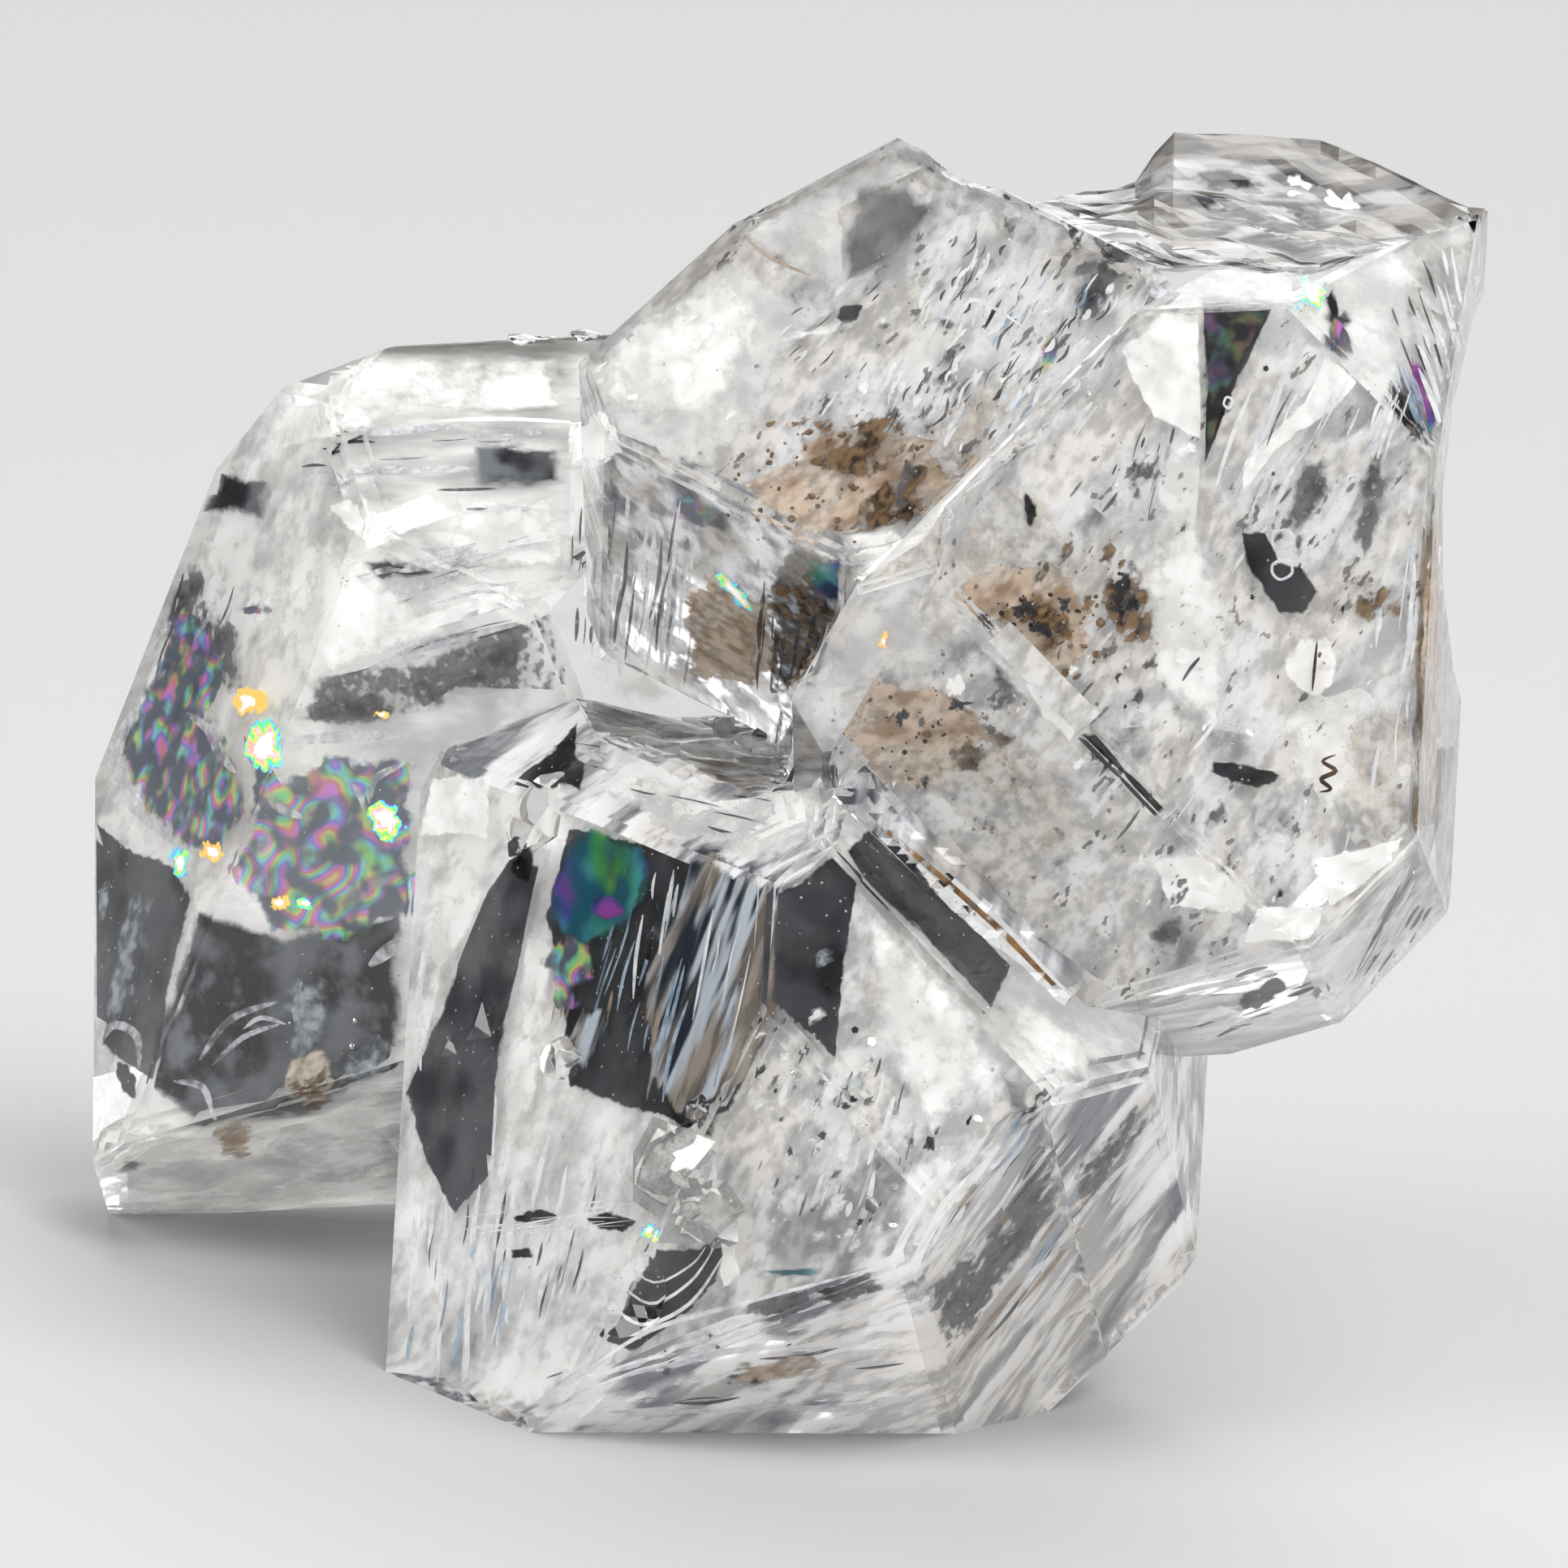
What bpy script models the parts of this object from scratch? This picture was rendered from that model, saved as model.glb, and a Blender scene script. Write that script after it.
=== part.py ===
"""Herkimer diamond: four water-clear quartz crystals grown through each other into one cluster.

Each crystal is the space inside eighteen planes: six prism faces and two ends of six pyramid
faces, at the true angles of quartz.  Only how far each face has grown from the crystal's centre
differs, and that is what gives every crystal its own lopsided shape.  The crystals are joined
into one solid, broken where the cluster is broken, and small crystals and splinters are fused
to it.

Metres, +Z up.  The cluster stands on one pyramid face of the front crystal, at z = 0.
"""

import math
import random
from dataclasses import dataclass

import bmesh
import bpy
from mathutils import Matrix, Vector, noise

MM = 0.001
NODE_NAME = "herkimer_cluster"
PYRAMID_ANGLE = math.radians(51.79)  # from the long axis to the normal of a pyramid face
BLOCK_SIZE = 90.0  # mm, the raw block that a crystal is cut from
ABSENT = 40.0  # mm, a face too far out to show


@dataclass(frozen=True)
class Crystal:
    """One doubly ended quartz crystal; lengths in mm, angles in degrees."""

    centre: tuple[float, float, float]
    heading: float  # compass direction that the long axis leans to
    lean: float  # angle of the long axis from upright
    spin: float  # turn about the long axis
    prism: tuple[float, ...]  # how far each of the six sides has grown from the centre
    near_end: tuple[float, ...]  # the same for the pyramid at the +axis end
    far_end: tuple[float, ...]  # and for the pyramid at the other end
    breaks: tuple[tuple[float, float, float], ...] = ()  # heading, rise, distance of a flat break


FRONT = Crystal(
    centre=(0.36, -2.85, 8.67),
    heading=-147.3,
    lean=128.21,
    spin=180.0,
    prism=(10.2, 16.1, 12.2, 11.3, 8.9, 10.2),
    near_end=(7.1, 12.4, 13.6, 8.67, 8.9, 8.9),
    far_end=(ABSENT, 13.6, 15.1, 12.7, 11.2, 10.2),
)
RIGHT = Crystal(
    centre=(10.92, -3.32, 23.83),
    heading=23.0,
    lean=45.1,
    spin=-103.3,
    prism=(5.7, 9.7, 10.7, 10.2, 5.25, ABSENT),
    near_end=(10.0, 7.9, 9.0, 11.4, 12.6, 11.9),
    far_end=(7.2, 10.2, 12.7, 11.4, 11.4, 10.4),
)
RIGHT_BACK = Crystal(  # grown on behind the right crystal, parallel to it
    centre=RIGHT.centre,
    heading=RIGHT.heading,
    lean=RIGHT.lean,
    spin=RIGHT.spin,
    prism=(2.8, 9.1, 10.1, 9.6, 12.3, ABSENT),
    near_end=(9.4, 7.4, 8.6, 13.8, ABSENT, ABSENT),
    far_end=(5.2, 8.2, 10.2, 10.6, 8.2, 7.5),
)
RIGHT_LEDGE = Crystal(  # the lower left shoulder of the right crystal, parallel to it
    centre=RIGHT.centre,
    heading=RIGHT.heading,
    lean=RIGHT.lean,
    spin=RIGHT.spin,
    prism=(5.5, 9.3, 9.8, 6.0, 5.96, 10.0),
    near_end=(6.0, 5.0, 6.0, 8.0, 8.0, ABSENT),
    far_end=(7.05, 9.9, 10.4, 10.0, 10.6, ABSENT),
)
CENTRE = Crystal(
    centre=(-0.35, 0.53, 29.31),
    heading=-20.1,
    lean=109.0,
    spin=-105.6,
    prism=(6.25, 5.6, 10.4, 9.7, 4.62, ABSENT),
    near_end=(10.4, 7.06, 10.2, 10.4, 10.4, ABSENT),
    far_end=(ABSENT, 6.85, 10.4, 11.7, 12.2, ABSENT),
    breaks=(
        (136.4, 51.2, 4.68),
        (148.2, 39.4, 4.36),
        (160.4, 13.2, 5.63),
        (174.2, 2.5, 7.28),
    ),
)
LEFT = Crystal(
    centre=(-12.88, 15.99, 14.5),
    heading=-26.2,
    lean=108.9,
    spin=-90.6,
    prism=(6.8, 15.1, 13.3, 9.2, 14.6, 11.7),
    near_end=(11.7, 10.5, ABSENT, 11.2, 12.6, 12.6),
    far_end=(5.6, 13.6, ABSENT, 4.2, 10.7, 11.7),
    breaks=((152.0, 40.8, 9.74), (138.2, 61.3, 11.41), (175.9, -5.7, 8.64), (0.0, -90.0, 14.5)),
)

# Crystals of a millimetre or two that are fused to the front crystal: centre, size, turns.
SMALL_CRYSTALS = (
    ((-7.7, 0.0, 16.9), 1.05, (35.0, 40.0, 12.0)),
    ((-6.6, -4.3, 10.4), 0.72, (-60.0, 70.0, 25.0)),
    ((-2.9, -10.9, 9.1), 1.15, (20.0, 62.0, 50.0)),
    ((-2.0, -10.9, 7.5), 0.95, (-15.0, 118.0, 5.0)),
    ((-2.4, -10.75, 10.5), 0.6, (-110.0, 65.0, 40.0)),
)
# Low three-sided growth hills on the left face of the front crystal: foot, size, height.
GROWTH_HILLS = (
    ((-9.24, -0.67, 10.5), 0.62, 0.16),
    ((-10.11, 0.27, 9.57), 0.36, 0.12),
)
LEFT_FACE_OUT = Vector((-0.818, -0.526, 0.235))

# Blades of broken quartz that stand where the centre crystal joins the front one.
SPLINTERS = (  # foot, width, thickness, height, heading, lean
    ((-0.62, 1.5, 19.1), 0.62, 0.26, 2.2, 12.0, 4.0),
    ((0.8, -7.5, 20.1), 0.6, 0.3, 2.1, -18.0, -6.0),
    ((1.45, -7.75, 19.9), 0.7, 0.34, 1.5, 30.0, 12.0),
    ((-2.4, 2.9, 19.0), 0.9, 0.5, 1.05, -8.0, 0.0),
    ((-1.4, 2.3, 19.0), 0.7, 0.4, 0.75, 40.0, 9.0),
    ((0.3, 0.4, 19.0), 0.5, 0.4, 1.0, 65.0, -9.0),
)
TOP_CRUMBS = (  # small broken bits on the left crystal's top edge
    ((-9.0, 15.7, 28.15), 0.5),
    ((-8.2, 16.0, 28.0), 0.62),
    ((-7.2, 16.0, 28.3), 0.45),
    ((-6.2, 16.0, 27.95), 0.6),
)


def clear_scene() -> None:
    """Empty the scene."""
    for obj in list(bpy.data.objects):
        bpy.data.objects.remove(obj, do_unlink=True)


def new_collection(name: str) -> bpy.types.Collection:
    """A new collection linked to the scene."""
    collection = bpy.data.collections.new(name)
    bpy.context.scene.collection.children.link(collection)
    return collection


def object_from(name: str, bm: bmesh.types.BMesh, collection) -> bpy.types.Object:
    """An object in the collection that holds this mesh, facing out."""
    bmesh.ops.recalc_face_normals(bm, faces=bm.faces)
    mesh = bpy.data.meshes.new(name)
    bm.to_mesh(mesh)
    bm.free()
    obj = bpy.data.objects.new(name, mesh)
    collection.objects.link(obj)
    return obj


def as_helper(obj: bpy.types.Object) -> bpy.types.Object:
    """Marks the object as one that only cuts or joins others."""
    obj.hide_render = True
    obj.display_type = "WIRE"
    return obj


def boolean(target: bpy.types.Object, other: bpy.types.Object, operation: str) -> None:
    """Joins the other object to the target, or cuts it away."""
    modifier = target.modifiers.new(f"{operation.lower()} {other.name}", "BOOLEAN")
    modifier.operation = operation
    modifier.object = other
    modifier.solver = "EXACT"


def turned(heading: float, lean: float, spin: float) -> Matrix:
    """The turn of a crystal whose long axis leans towards a heading."""
    return (
        Matrix.Rotation(math.radians(heading), 3, "Z")
        @ Matrix.Rotation(math.radians(lean), 3, "Y")
        @ Matrix.Rotation(math.radians(spin), 3, "Z")
    )


def smooth(value: float) -> float:
    """0 below zero, 1 above one, and an even slope between."""
    value = min(max(value, 0.0), 1.0)
    return value * value * (3.0 - 2.0 * value)


def crystal_faces(crystal: Crystal) -> list[tuple[Vector, float]]:
    """Outward normal and distance from the centre of each face of the crystal."""
    turn = turned(crystal.heading, crystal.lean, crystal.spin)
    rings = (
        (math.pi / 2, crystal.prism),
        (PYRAMID_ANGLE, crystal.near_end),
        (math.pi - PYRAMID_ANGLE, crystal.far_end),
    )
    faces = []
    for from_axis, distances in rings:
        for side, distance in enumerate(distances):
            around = math.radians(60 * side)
            flat = math.sin(from_axis)
            normal = (flat * math.cos(around), flat * math.sin(around), math.cos(from_axis))
            faces.append((turn @ Vector(normal), distance))
    for heading, rise, distance in crystal.breaks:
        around, up = math.radians(heading), math.radians(rise)
        flat = math.cos(up)
        normal = (flat * math.cos(around), flat * math.sin(around), math.sin(up))
        faces.append((Vector(normal), distance))
    return faces


def cut_crystal(name: str, crystal: Crystal, collection) -> bpy.types.Object:
    """A crystal cut from a block, with one plane for each of its faces."""
    bm = bmesh.new()
    bmesh.ops.create_cube(bm, size=BLOCK_SIZE * MM)
    for normal, distance in crystal_faces(crystal):
        cut = bmesh.ops.bisect_plane(
            bm,
            geom=bm.verts[:] + bm.edges[:] + bm.faces[:],
            dist=1e-7,
            plane_co=normal * distance * MM,
            plane_no=normal,
            clear_outer=True,
        )
        rim = [item for item in cut["geom_cut"] if isinstance(item, bmesh.types.BMEdge)]
        if rim:
            bmesh.ops.edgeloop_fill(bm, edges=rim)
    bmesh.ops.translate(bm, verts=bm.verts, vec=Vector(crystal.centre) * MM)
    return object_from(name, bm, collection)


def broken_height(x: float, y: float) -> float:
    """Height in mm of the right crystal's broken top: a ridge round a dish, and a scoop beside it."""
    past_corner = max(0.0, x - 14.0)
    near_y = -5.0 + 1.02 * past_corner
    far_y = 5.4 - max(0.0, x - 14.5)
    near_z = 35.72 + 0.19 * past_corner
    far_z = 37.8 - 0.22 * max(0.0, x - 14.8)
    width = max(far_y - near_y, 1.0)
    across = (y - near_y) / width
    inside = min(max(across, 0.0), 1.0)
    ridge = near_z + (far_z - near_z) * inside**1.4 - 0.6 * math.sin(math.pi * inside)
    ridge += 0.32 * max(0.0, near_y - y) - 0.3 * max(0.0, y - near_y - width)
    scoop = 35.95 + 0.03 * (y + 5.0) - 0.3 * max(0.0, y - 4.6) - 0.25 * math.exp(-((x - 7.2) ** 2) / 2.0)
    height = scoop + (ridge - scoop) * smooth((x - 8.7) / 1.4)
    from_blow = math.hypot(x - 8.4, y + 7.5)
    ripple = 0.085 * math.sin(from_blow * 4.6 + 1.5 * noise.noise(Vector((x, y, 0.0)) * 0.4))
    rough = 0.22 * noise.noise(Vector((x * 0.45, y * 0.6, 3.1)))
    rough += 0.09 * noise.noise(Vector((x * 1.3, y * 1.9, 7.7)))
    return height + (ripple + rough) * (0.35 + 0.65 * math.sin(math.pi * inside))


def waist(collection) -> bpy.types.Object:
    """The wide roller that hollows the right crystal's right side."""
    bm = bmesh.new()
    bmesh.ops.create_cone(
        bm,
        cap_ends=True,
        segments=44,
        radius1=18.67 * MM,
        radius2=18.67 * MM,
        depth=44.0 * MM,
        matrix=Matrix.Translation(Vector((37.12, -4.3, 29.27)) * MM)
        @ Matrix.Rotation(math.radians(77.73), 4, "X"),
    )
    return as_helper(object_from("waist", bm, collection))


def edge_cutters(collection) -> list[bpy.types.Object]:
    """A narrow bevel and a groove along the long edge across the right crystal's front."""
    start, along = Vector((5.4, -10.3, 25.46)), Vector((0.72, 0.058, -0.69)).normalized()
    out = Vector((0.006, -0.997, -0.078))
    out = (out - along * out.dot(along)).normalized()
    side = along.cross(out)
    frame = Matrix((along, side, out)).transposed().to_4x4()
    cutters = []
    for name, first, last, width, depth, roll in (
        ("bevel", 0.0, 3.9, 2.0, 0.11, 4.0),
        ("groove", 3.9, 7.6, 0.5, 0.3, 45.0),
    ):
        middle = start + along * (first + last) / 2 + out * (width / 2 - depth)
        bm = bmesh.new()
        bmesh.ops.create_cube(bm, size=1.0)
        bmesh.ops.scale(bm, vec=Vector((last - first, width, width)) * MM, verts=bm.verts)
        bmesh.ops.rotate(bm, matrix=Matrix.Rotation(math.radians(roll), 3, "X"), verts=bm.verts)
        bmesh.ops.transform(bm, matrix=Matrix.Translation(middle * MM) @ frame, verts=bm.verts)
        cutters.append(as_helper(object_from(name, bm, collection)))
    return cutters


def chip(name: str, at, out, radius: float, depth: float, collection) -> bpy.types.Object:
    """A rippled ball whose cut leaves a shell-shaped chip."""
    centre = Vector(at) + Vector(out).normalized() * (radius - depth)
    bm = bmesh.new()
    bmesh.ops.create_icosphere(bm, subdivisions=4, radius=1.0)
    for vert in bm.verts:
        ring = math.sin(11.0 * vert.co.angle(Vector((0.5, -0.2, -0.8))) * radius / 1.2)
        vert.co = (centre + vert.co * (radius + 0.02 * ring)) * MM
    return as_helper(object_from(name, bm, collection))


def growth_step(collection) -> bpy.types.Object:
    """A thin slab that takes the right end of the front crystal's lower right face down a step."""
    out = Vector((0.728, -0.561, -0.393)).normalized()
    first, last = Vector((7.57, -11.46, 11.59)), Vector((8.95, -5.95, 6.28))
    along = (last - first).normalized()
    side = out.cross(along).normalized()
    if side.x < 0:
        side = -side
    frame = Matrix((along, side, out)).transposed().to_4x4()
    middle = (first + last) / 2 + side * 4.5 + along * 6.0 + out * (1.0 - 0.12)
    bm = bmesh.new()
    bmesh.ops.create_cube(bm, size=1.0)
    bmesh.ops.scale(bm, vec=Vector((20.0, 9.0, 2.0)) * MM, verts=bm.verts)
    bmesh.ops.transform(bm, matrix=Matrix.Translation(middle * MM) @ frame, verts=bm.verts)
    return as_helper(object_from("growth_step", bm, collection))


def small_crystal(index: int, collection) -> bpy.types.Object:
    """A stubby crystal fused to the front one, a little uneven like its host."""
    centre, size, (heading, lean, spin) = SMALL_CRYSTALS[index]
    uneven = random.Random(40 + index)
    sides = tuple(size * uneven.uniform(0.7, 1.0) for _ in range(6))
    near = tuple(size * uneven.uniform(0.85, 1.15) for _ in range(6))
    far = tuple(size * uneven.uniform(0.85, 1.15) for _ in range(6))
    shape = Crystal(centre, heading, lean, spin, sides, near, far)
    return as_helper(cut_crystal(f"small_crystal_{index + 1}", shape, collection))


def growth_hill(index: int, collection) -> bpy.types.Object:
    """A low three-sided hill on the front crystal's left face."""
    foot, size, height = GROWTH_HILLS[index]
    sunk = 0.4
    bm = bmesh.new()
    bmesh.ops.create_cone(
        bm,
        cap_ends=True,
        segments=3,
        radius1=size * (height + sunk) / height * MM,
        radius2=0.0,
        depth=(height + sunk) * MM,
        matrix=Matrix.Translation(Vector((0.0, 0.0, (height - sunk) / 2)) * MM),
    )
    turn = LEFT_FACE_OUT.to_track_quat("Z", "Y").to_matrix().to_4x4()
    lean = Matrix.Rotation(math.radians(17.0), 4, "Z")
    bmesh.ops.transform(bm, matrix=Matrix.Translation(Vector(foot) * MM) @ turn @ lean, verts=bm.verts)
    return as_helper(object_from(f"growth_hill_{index + 1}", bm, collection))


def ground_height(x: float, y: float) -> float:
    """Height in mm of the broken ground on top of the front crystal."""
    height = 19.15
    hills = ((0.9, -6.6, 1.3, 2.7), (-7.1, 4.4, 0.6, 3.0), (-4.5, 6.6, -0.75, 2.6))
    for hill_x, hill_y, rise, reach in hills:
        height += rise * smooth(1.0 - math.hypot(x - hill_x, y - hill_y) / reach)
    rough = 0.2 * noise.noise(Vector((x * 0.8, y * 0.8, 1.3)))
    return height + rough + 0.13 * noise.noise(Vector((x * 2.2, y * 2.2, 5.9)))


def above(name: str, height, middle, size, columns: int, rows: int, collection) -> bpy.types.Object:
    """Everything above a height in mm that varies over the plan, to be cut away."""
    bm = bmesh.new()
    made = bmesh.ops.create_grid(bm, x_segments=columns, y_segments=rows, size=0.5)
    for vert in made["verts"]:
        x = middle[0] + vert.co.x * size[0]
        y = middle[1] + vert.co.y * size[1]
        vert.co = Vector((x, y, height(x, y))) * MM
    raised = bmesh.ops.extrude_face_region(bm, geom=bm.faces[:])
    top = [item for item in raised["geom"] if isinstance(item, bmesh.types.BMVert)]
    for vert in top:
        vert.co.z = 60.0 * MM
    return as_helper(object_from(name, bm, collection))


def seam_rib(collection) -> bpy.types.Object:
    """The rough rib along the seam where the right crystal meets the front one."""
    first, last = Vector((1.2, -7.75, 20.2)), Vector((8.2, -7.45, 13.9))
    along = (last - first).normalized()
    out = Vector((0.25, -0.93, 0.26))
    out = (out - along * out.dot(along)).normalized()
    frame = Matrix((along, out.cross(along), out)).transposed().to_4x4()
    bm = bmesh.new()
    bmesh.ops.create_grid(bm, x_segments=26, y_segments=4, size=0.5)
    length = (last - first).length
    for vert in bm.verts:
        x, y = vert.co.x * length, vert.co.y * 1.3
        rough = 0.16 * noise.noise(Vector((x * 0.6, y * 3.0, 2.0)))
        rough += 0.1 * noise.noise(Vector((x * 2.0, y, 0.0)))
        vert.co = Vector((x, y, 0.36 + rough))
    raised = bmesh.ops.extrude_face_region(bm, geom=bm.faces[:])
    for item in raised["geom"]:
        if isinstance(item, bmesh.types.BMVert):
            item.co.z = -0.7
    bmesh.ops.transform(
        bm,
        matrix=Matrix.Scale(MM, 4) @ Matrix.Translation((first + last) / 2) @ frame,
        verts=bm.verts,
    )
    return as_helper(object_from("seam_rib", bm, collection))


def splinter(index: int, collection) -> bpy.types.Object:
    """A thin blade of broken quartz that stands on the broken ground."""
    foot, width, thickness, height, heading, lean = SPLINTERS[index]
    uneven = random.Random(70 + index)
    bm = bmesh.new()
    bmesh.ops.create_cone(bm, cap_ends=True, segments=5, radius1=0.5, radius2=0.34, depth=1.0)
    for vert in bm.verts:
        vert.co.z += 0.5
        if vert.co.z > 0.5:
            vert.co.z += uneven.uniform(-0.28, 0.05)
            vert.co.x += uneven.uniform(-0.12, 0.12)
    bmesh.ops.scale(bm, vec=Vector((width, thickness, height)) * MM, verts=bm.verts)
    turn = Matrix.Rotation(math.radians(heading), 4, "Z") @ Matrix.Rotation(math.radians(lean), 4, "Y")
    sunk = Vector(foot) - Vector((0.0, 0.0, 0.3))
    bmesh.ops.transform(bm, matrix=Matrix.Translation(sunk * MM) @ turn, verts=bm.verts)
    return as_helper(object_from(f"splinter_{index + 1}", bm, collection))


def crumb(index: int, collection) -> bpy.types.Object:
    """A small broken bit on the left crystal's top edge."""
    centre, size = TOP_CRUMBS[index]
    uneven = random.Random(90 + index)
    bm = bmesh.new()
    bmesh.ops.create_icosphere(bm, subdivisions=1, radius=1.0)
    for vert in bm.verts:
        stretch = Vector((1.3, 1.0, 0.55)) * size * uneven.uniform(0.7, 1.05)
        vert.co = (Vector(centre) + vert.co * stretch) * MM
    return as_helper(object_from(f"crumb_{index + 1}", bm, collection))


def clear_quartz() -> bpy.types.Material:
    """Water-clear quartz."""
    material = bpy.data.materials.new("clear_quartz")
    material.use_nodes = True
    shader = material.node_tree.nodes["Principled BSDF"]
    shader.inputs["Base Color"].default_value = (0.97, 0.97, 0.96, 1.0)
    shader.inputs["Roughness"].default_value = 0.03
    shader.inputs["IOR"].default_value = 1.544
    shader.inputs["Transmission Weight"].default_value = 1.0
    return material


def main() -> None:
    """Builds the cluster."""
    clear_scene()
    part = new_collection("herkimer diamond")
    helpers = new_collection("cutters")

    cluster = cut_crystal(NODE_NAME, FRONT, part)
    cluster.data.materials.append(clear_quartz())
    ground = above("above_ground", ground_height, (-1.0, 0.5), (30.0, 34.0), 56, 62, helpers)
    boolean(cluster, ground, "DIFFERENCE")
    boolean(cluster, growth_step(helpers), "DIFFERENCE")
    boolean(
        cluster,
        chip("front_chip", (-4.0, -10.75, 4.6), (-1.06, -1.49, 0.16), 2.6, 0.42, helpers),
        "DIFFERENCE",
    )

    right = as_helper(cut_crystal("right", RIGHT, helpers))
    for name, crystal in (("right_back", RIGHT_BACK), ("right_ledge", RIGHT_LEDGE)):
        boolean(right, as_helper(cut_crystal(name, crystal, helpers)), "UNION")
    break_off = above("above_break", broken_height, (9.5, 0.4), (26.4, 25.3), 48, 46, helpers)
    for cutter in (break_off, waist(helpers), *edge_cutters(helpers)):
        boolean(right, cutter, "DIFFERENCE")

    centre = as_helper(cut_crystal("centre", CENTRE, helpers))
    centre_chip = chip("centre_chip", (3.1, -4.6, 38.45), (0.5, -0.35, 0.8), 2.0, 0.3, helpers)
    boolean(centre, centre_chip, "DIFFERENCE")
    left = as_helper(cut_crystal("left", LEFT, helpers))

    for crystal in (right, centre, left):
        boolean(cluster, crystal, "UNION")
    for index in range(len(SMALL_CRYSTALS)):
        boolean(cluster, small_crystal(index, helpers), "UNION")
    for index in range(len(GROWTH_HILLS)):
        boolean(cluster, growth_hill(index, helpers), "UNION")
    boolean(cluster, seam_rib(helpers), "UNION")
    for index in range(len(SPLINTERS)):
        boolean(cluster, splinter(index, helpers), "UNION")
    for index in range(len(TOP_CRUMBS)):
        boolean(cluster, crumb(index, helpers), "UNION")


main()
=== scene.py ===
"""Looks of a herkimer diamond: four clear quartz crystals grown together, with what they hold inside."""

import logging
import math
import random
from dataclasses import dataclass
from enum import Enum
from typing import Any

import bmesh
import bpy
from mathutils import Euler, Matrix, Vector, noise
from mathutils.bvhtree import BVHTree


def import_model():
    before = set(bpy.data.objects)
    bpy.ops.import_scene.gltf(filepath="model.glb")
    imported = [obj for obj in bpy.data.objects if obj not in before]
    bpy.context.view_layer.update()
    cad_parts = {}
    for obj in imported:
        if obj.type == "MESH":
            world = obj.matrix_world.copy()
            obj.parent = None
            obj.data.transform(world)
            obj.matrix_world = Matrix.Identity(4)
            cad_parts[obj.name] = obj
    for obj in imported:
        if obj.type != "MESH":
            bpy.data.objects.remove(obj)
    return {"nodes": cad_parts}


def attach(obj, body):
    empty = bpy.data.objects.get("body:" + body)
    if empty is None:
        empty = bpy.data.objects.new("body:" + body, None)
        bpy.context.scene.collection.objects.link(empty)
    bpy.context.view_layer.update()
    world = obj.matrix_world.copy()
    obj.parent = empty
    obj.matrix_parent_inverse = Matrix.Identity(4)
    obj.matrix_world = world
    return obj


frame: dict[str, Any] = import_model()

LOG = logging.getLogger("herkimer")

MM = 0.001
CLUSTER = "herkimer_cluster"
BODY = "root"

QUARTZ_IOR = 1.544

# The viewing grid: the camera's frame is ruled in this many steps across and down, each this wide.
GRID = 1932
STEP = 0.0243 * MM

# How far a point of a film is from its rim: 0 on the rim, and 1 from this many steps of the grid inwards.
RIM = "rim"
RIM_REACH = 40.0

Spot = tuple[float, float]
Colour = tuple[float, float, float]
Loop = tuple[int, ...]


# --- node trees ----------------------------------------------------------------------------------


class Tree:
    """A light hand on a node tree: adds nodes, sets their values and joins their sockets."""

    def __init__(self, nodes: bpy.types.NodeTree) -> None:
        """Takes the tree that the nodes go into."""
        self.tree = nodes

    def put(self, node: bpy.types.Node, name: str | int, value: Any) -> None:
        """Sets an input's value, or joins a socket to it.

        Args:
            node: the node.
            name: the input's name or index.
            value: the value, or the socket to join.
        """
        if isinstance(value, bpy.types.NodeSocket):
            self.tree.links.new(value, node.inputs[name])
        else:
            node.inputs[name].default_value = value

    def add(self, kind: str, inputs: dict[str | int, Any] | None = None, **settings: Any) -> bpy.types.Node:
        """Adds one node.

        Args:
            kind: the node's type name.
            inputs: values, or sockets to join, by the input's name or index.
            settings: the node's own properties.

        Returns:
            The new node.
        """
        node = self.tree.nodes.new(kind)
        for name, value in settings.items():
            setattr(node, name, value)
        for name, value in (inputs or {}).items():
            self.put(node, name, value)
        return node

    def math(self, what: str, first: Any, second: Any = 0.0, third: Any = 0.0) -> bpy.types.NodeSocket:
        """The result of one Math node."""
        return self.add("ShaderNodeMath", {0: first, 1: second, 2: third}, operation=what).outputs[0]

    def dot(self, first: Any, second: Any) -> bpy.types.NodeSocket:
        """The dot product of two vectors."""
        node = self.add("ShaderNodeVectorMath", {0: first, 1: second}, operation="DOT_PRODUCT")
        return node.outputs["Value"]

    def mix(self, factor: Any, first: Any, second: Any) -> bpy.types.NodeSocket:
        """Mixes two colours, each a socket or three numbers.

        Args:
            factor: the second colour's share.
            first: the first colour.
            second: the second colour.

        Returns:
            The mix.
        """
        node = self.add("ShaderNodeMix", {"Factor": factor}, data_type="RGBA")
        for index, colour in ((6, first), (7, second)):
            self.put(node, index, colour if isinstance(colour, bpy.types.NodeSocket) else (*colour, 1.0))
        return node.outputs[2]

    def noise(self, place: Any, scale: Any, detail: float) -> bpy.types.NodeSocket:
        """A noise of about 0 to 1 over the given place."""
        inputs = {"Vector": place, "Scale": scale, "Detail": detail}
        return self.add("ShaderNodeTexNoise", inputs).outputs["Fac"]

    def ramp(self, value: Any, low: Any, high: Any) -> bpy.types.NodeSocket:
        """The value made 0 below low and 1 above high, smoothly between."""
        inputs = {"Value": value, "From Min": low, "From Max": high}
        return self.add("ShaderNodeMapRange", inputs, interpolation_type="SMOOTHSTEP").outputs["Result"]


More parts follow.
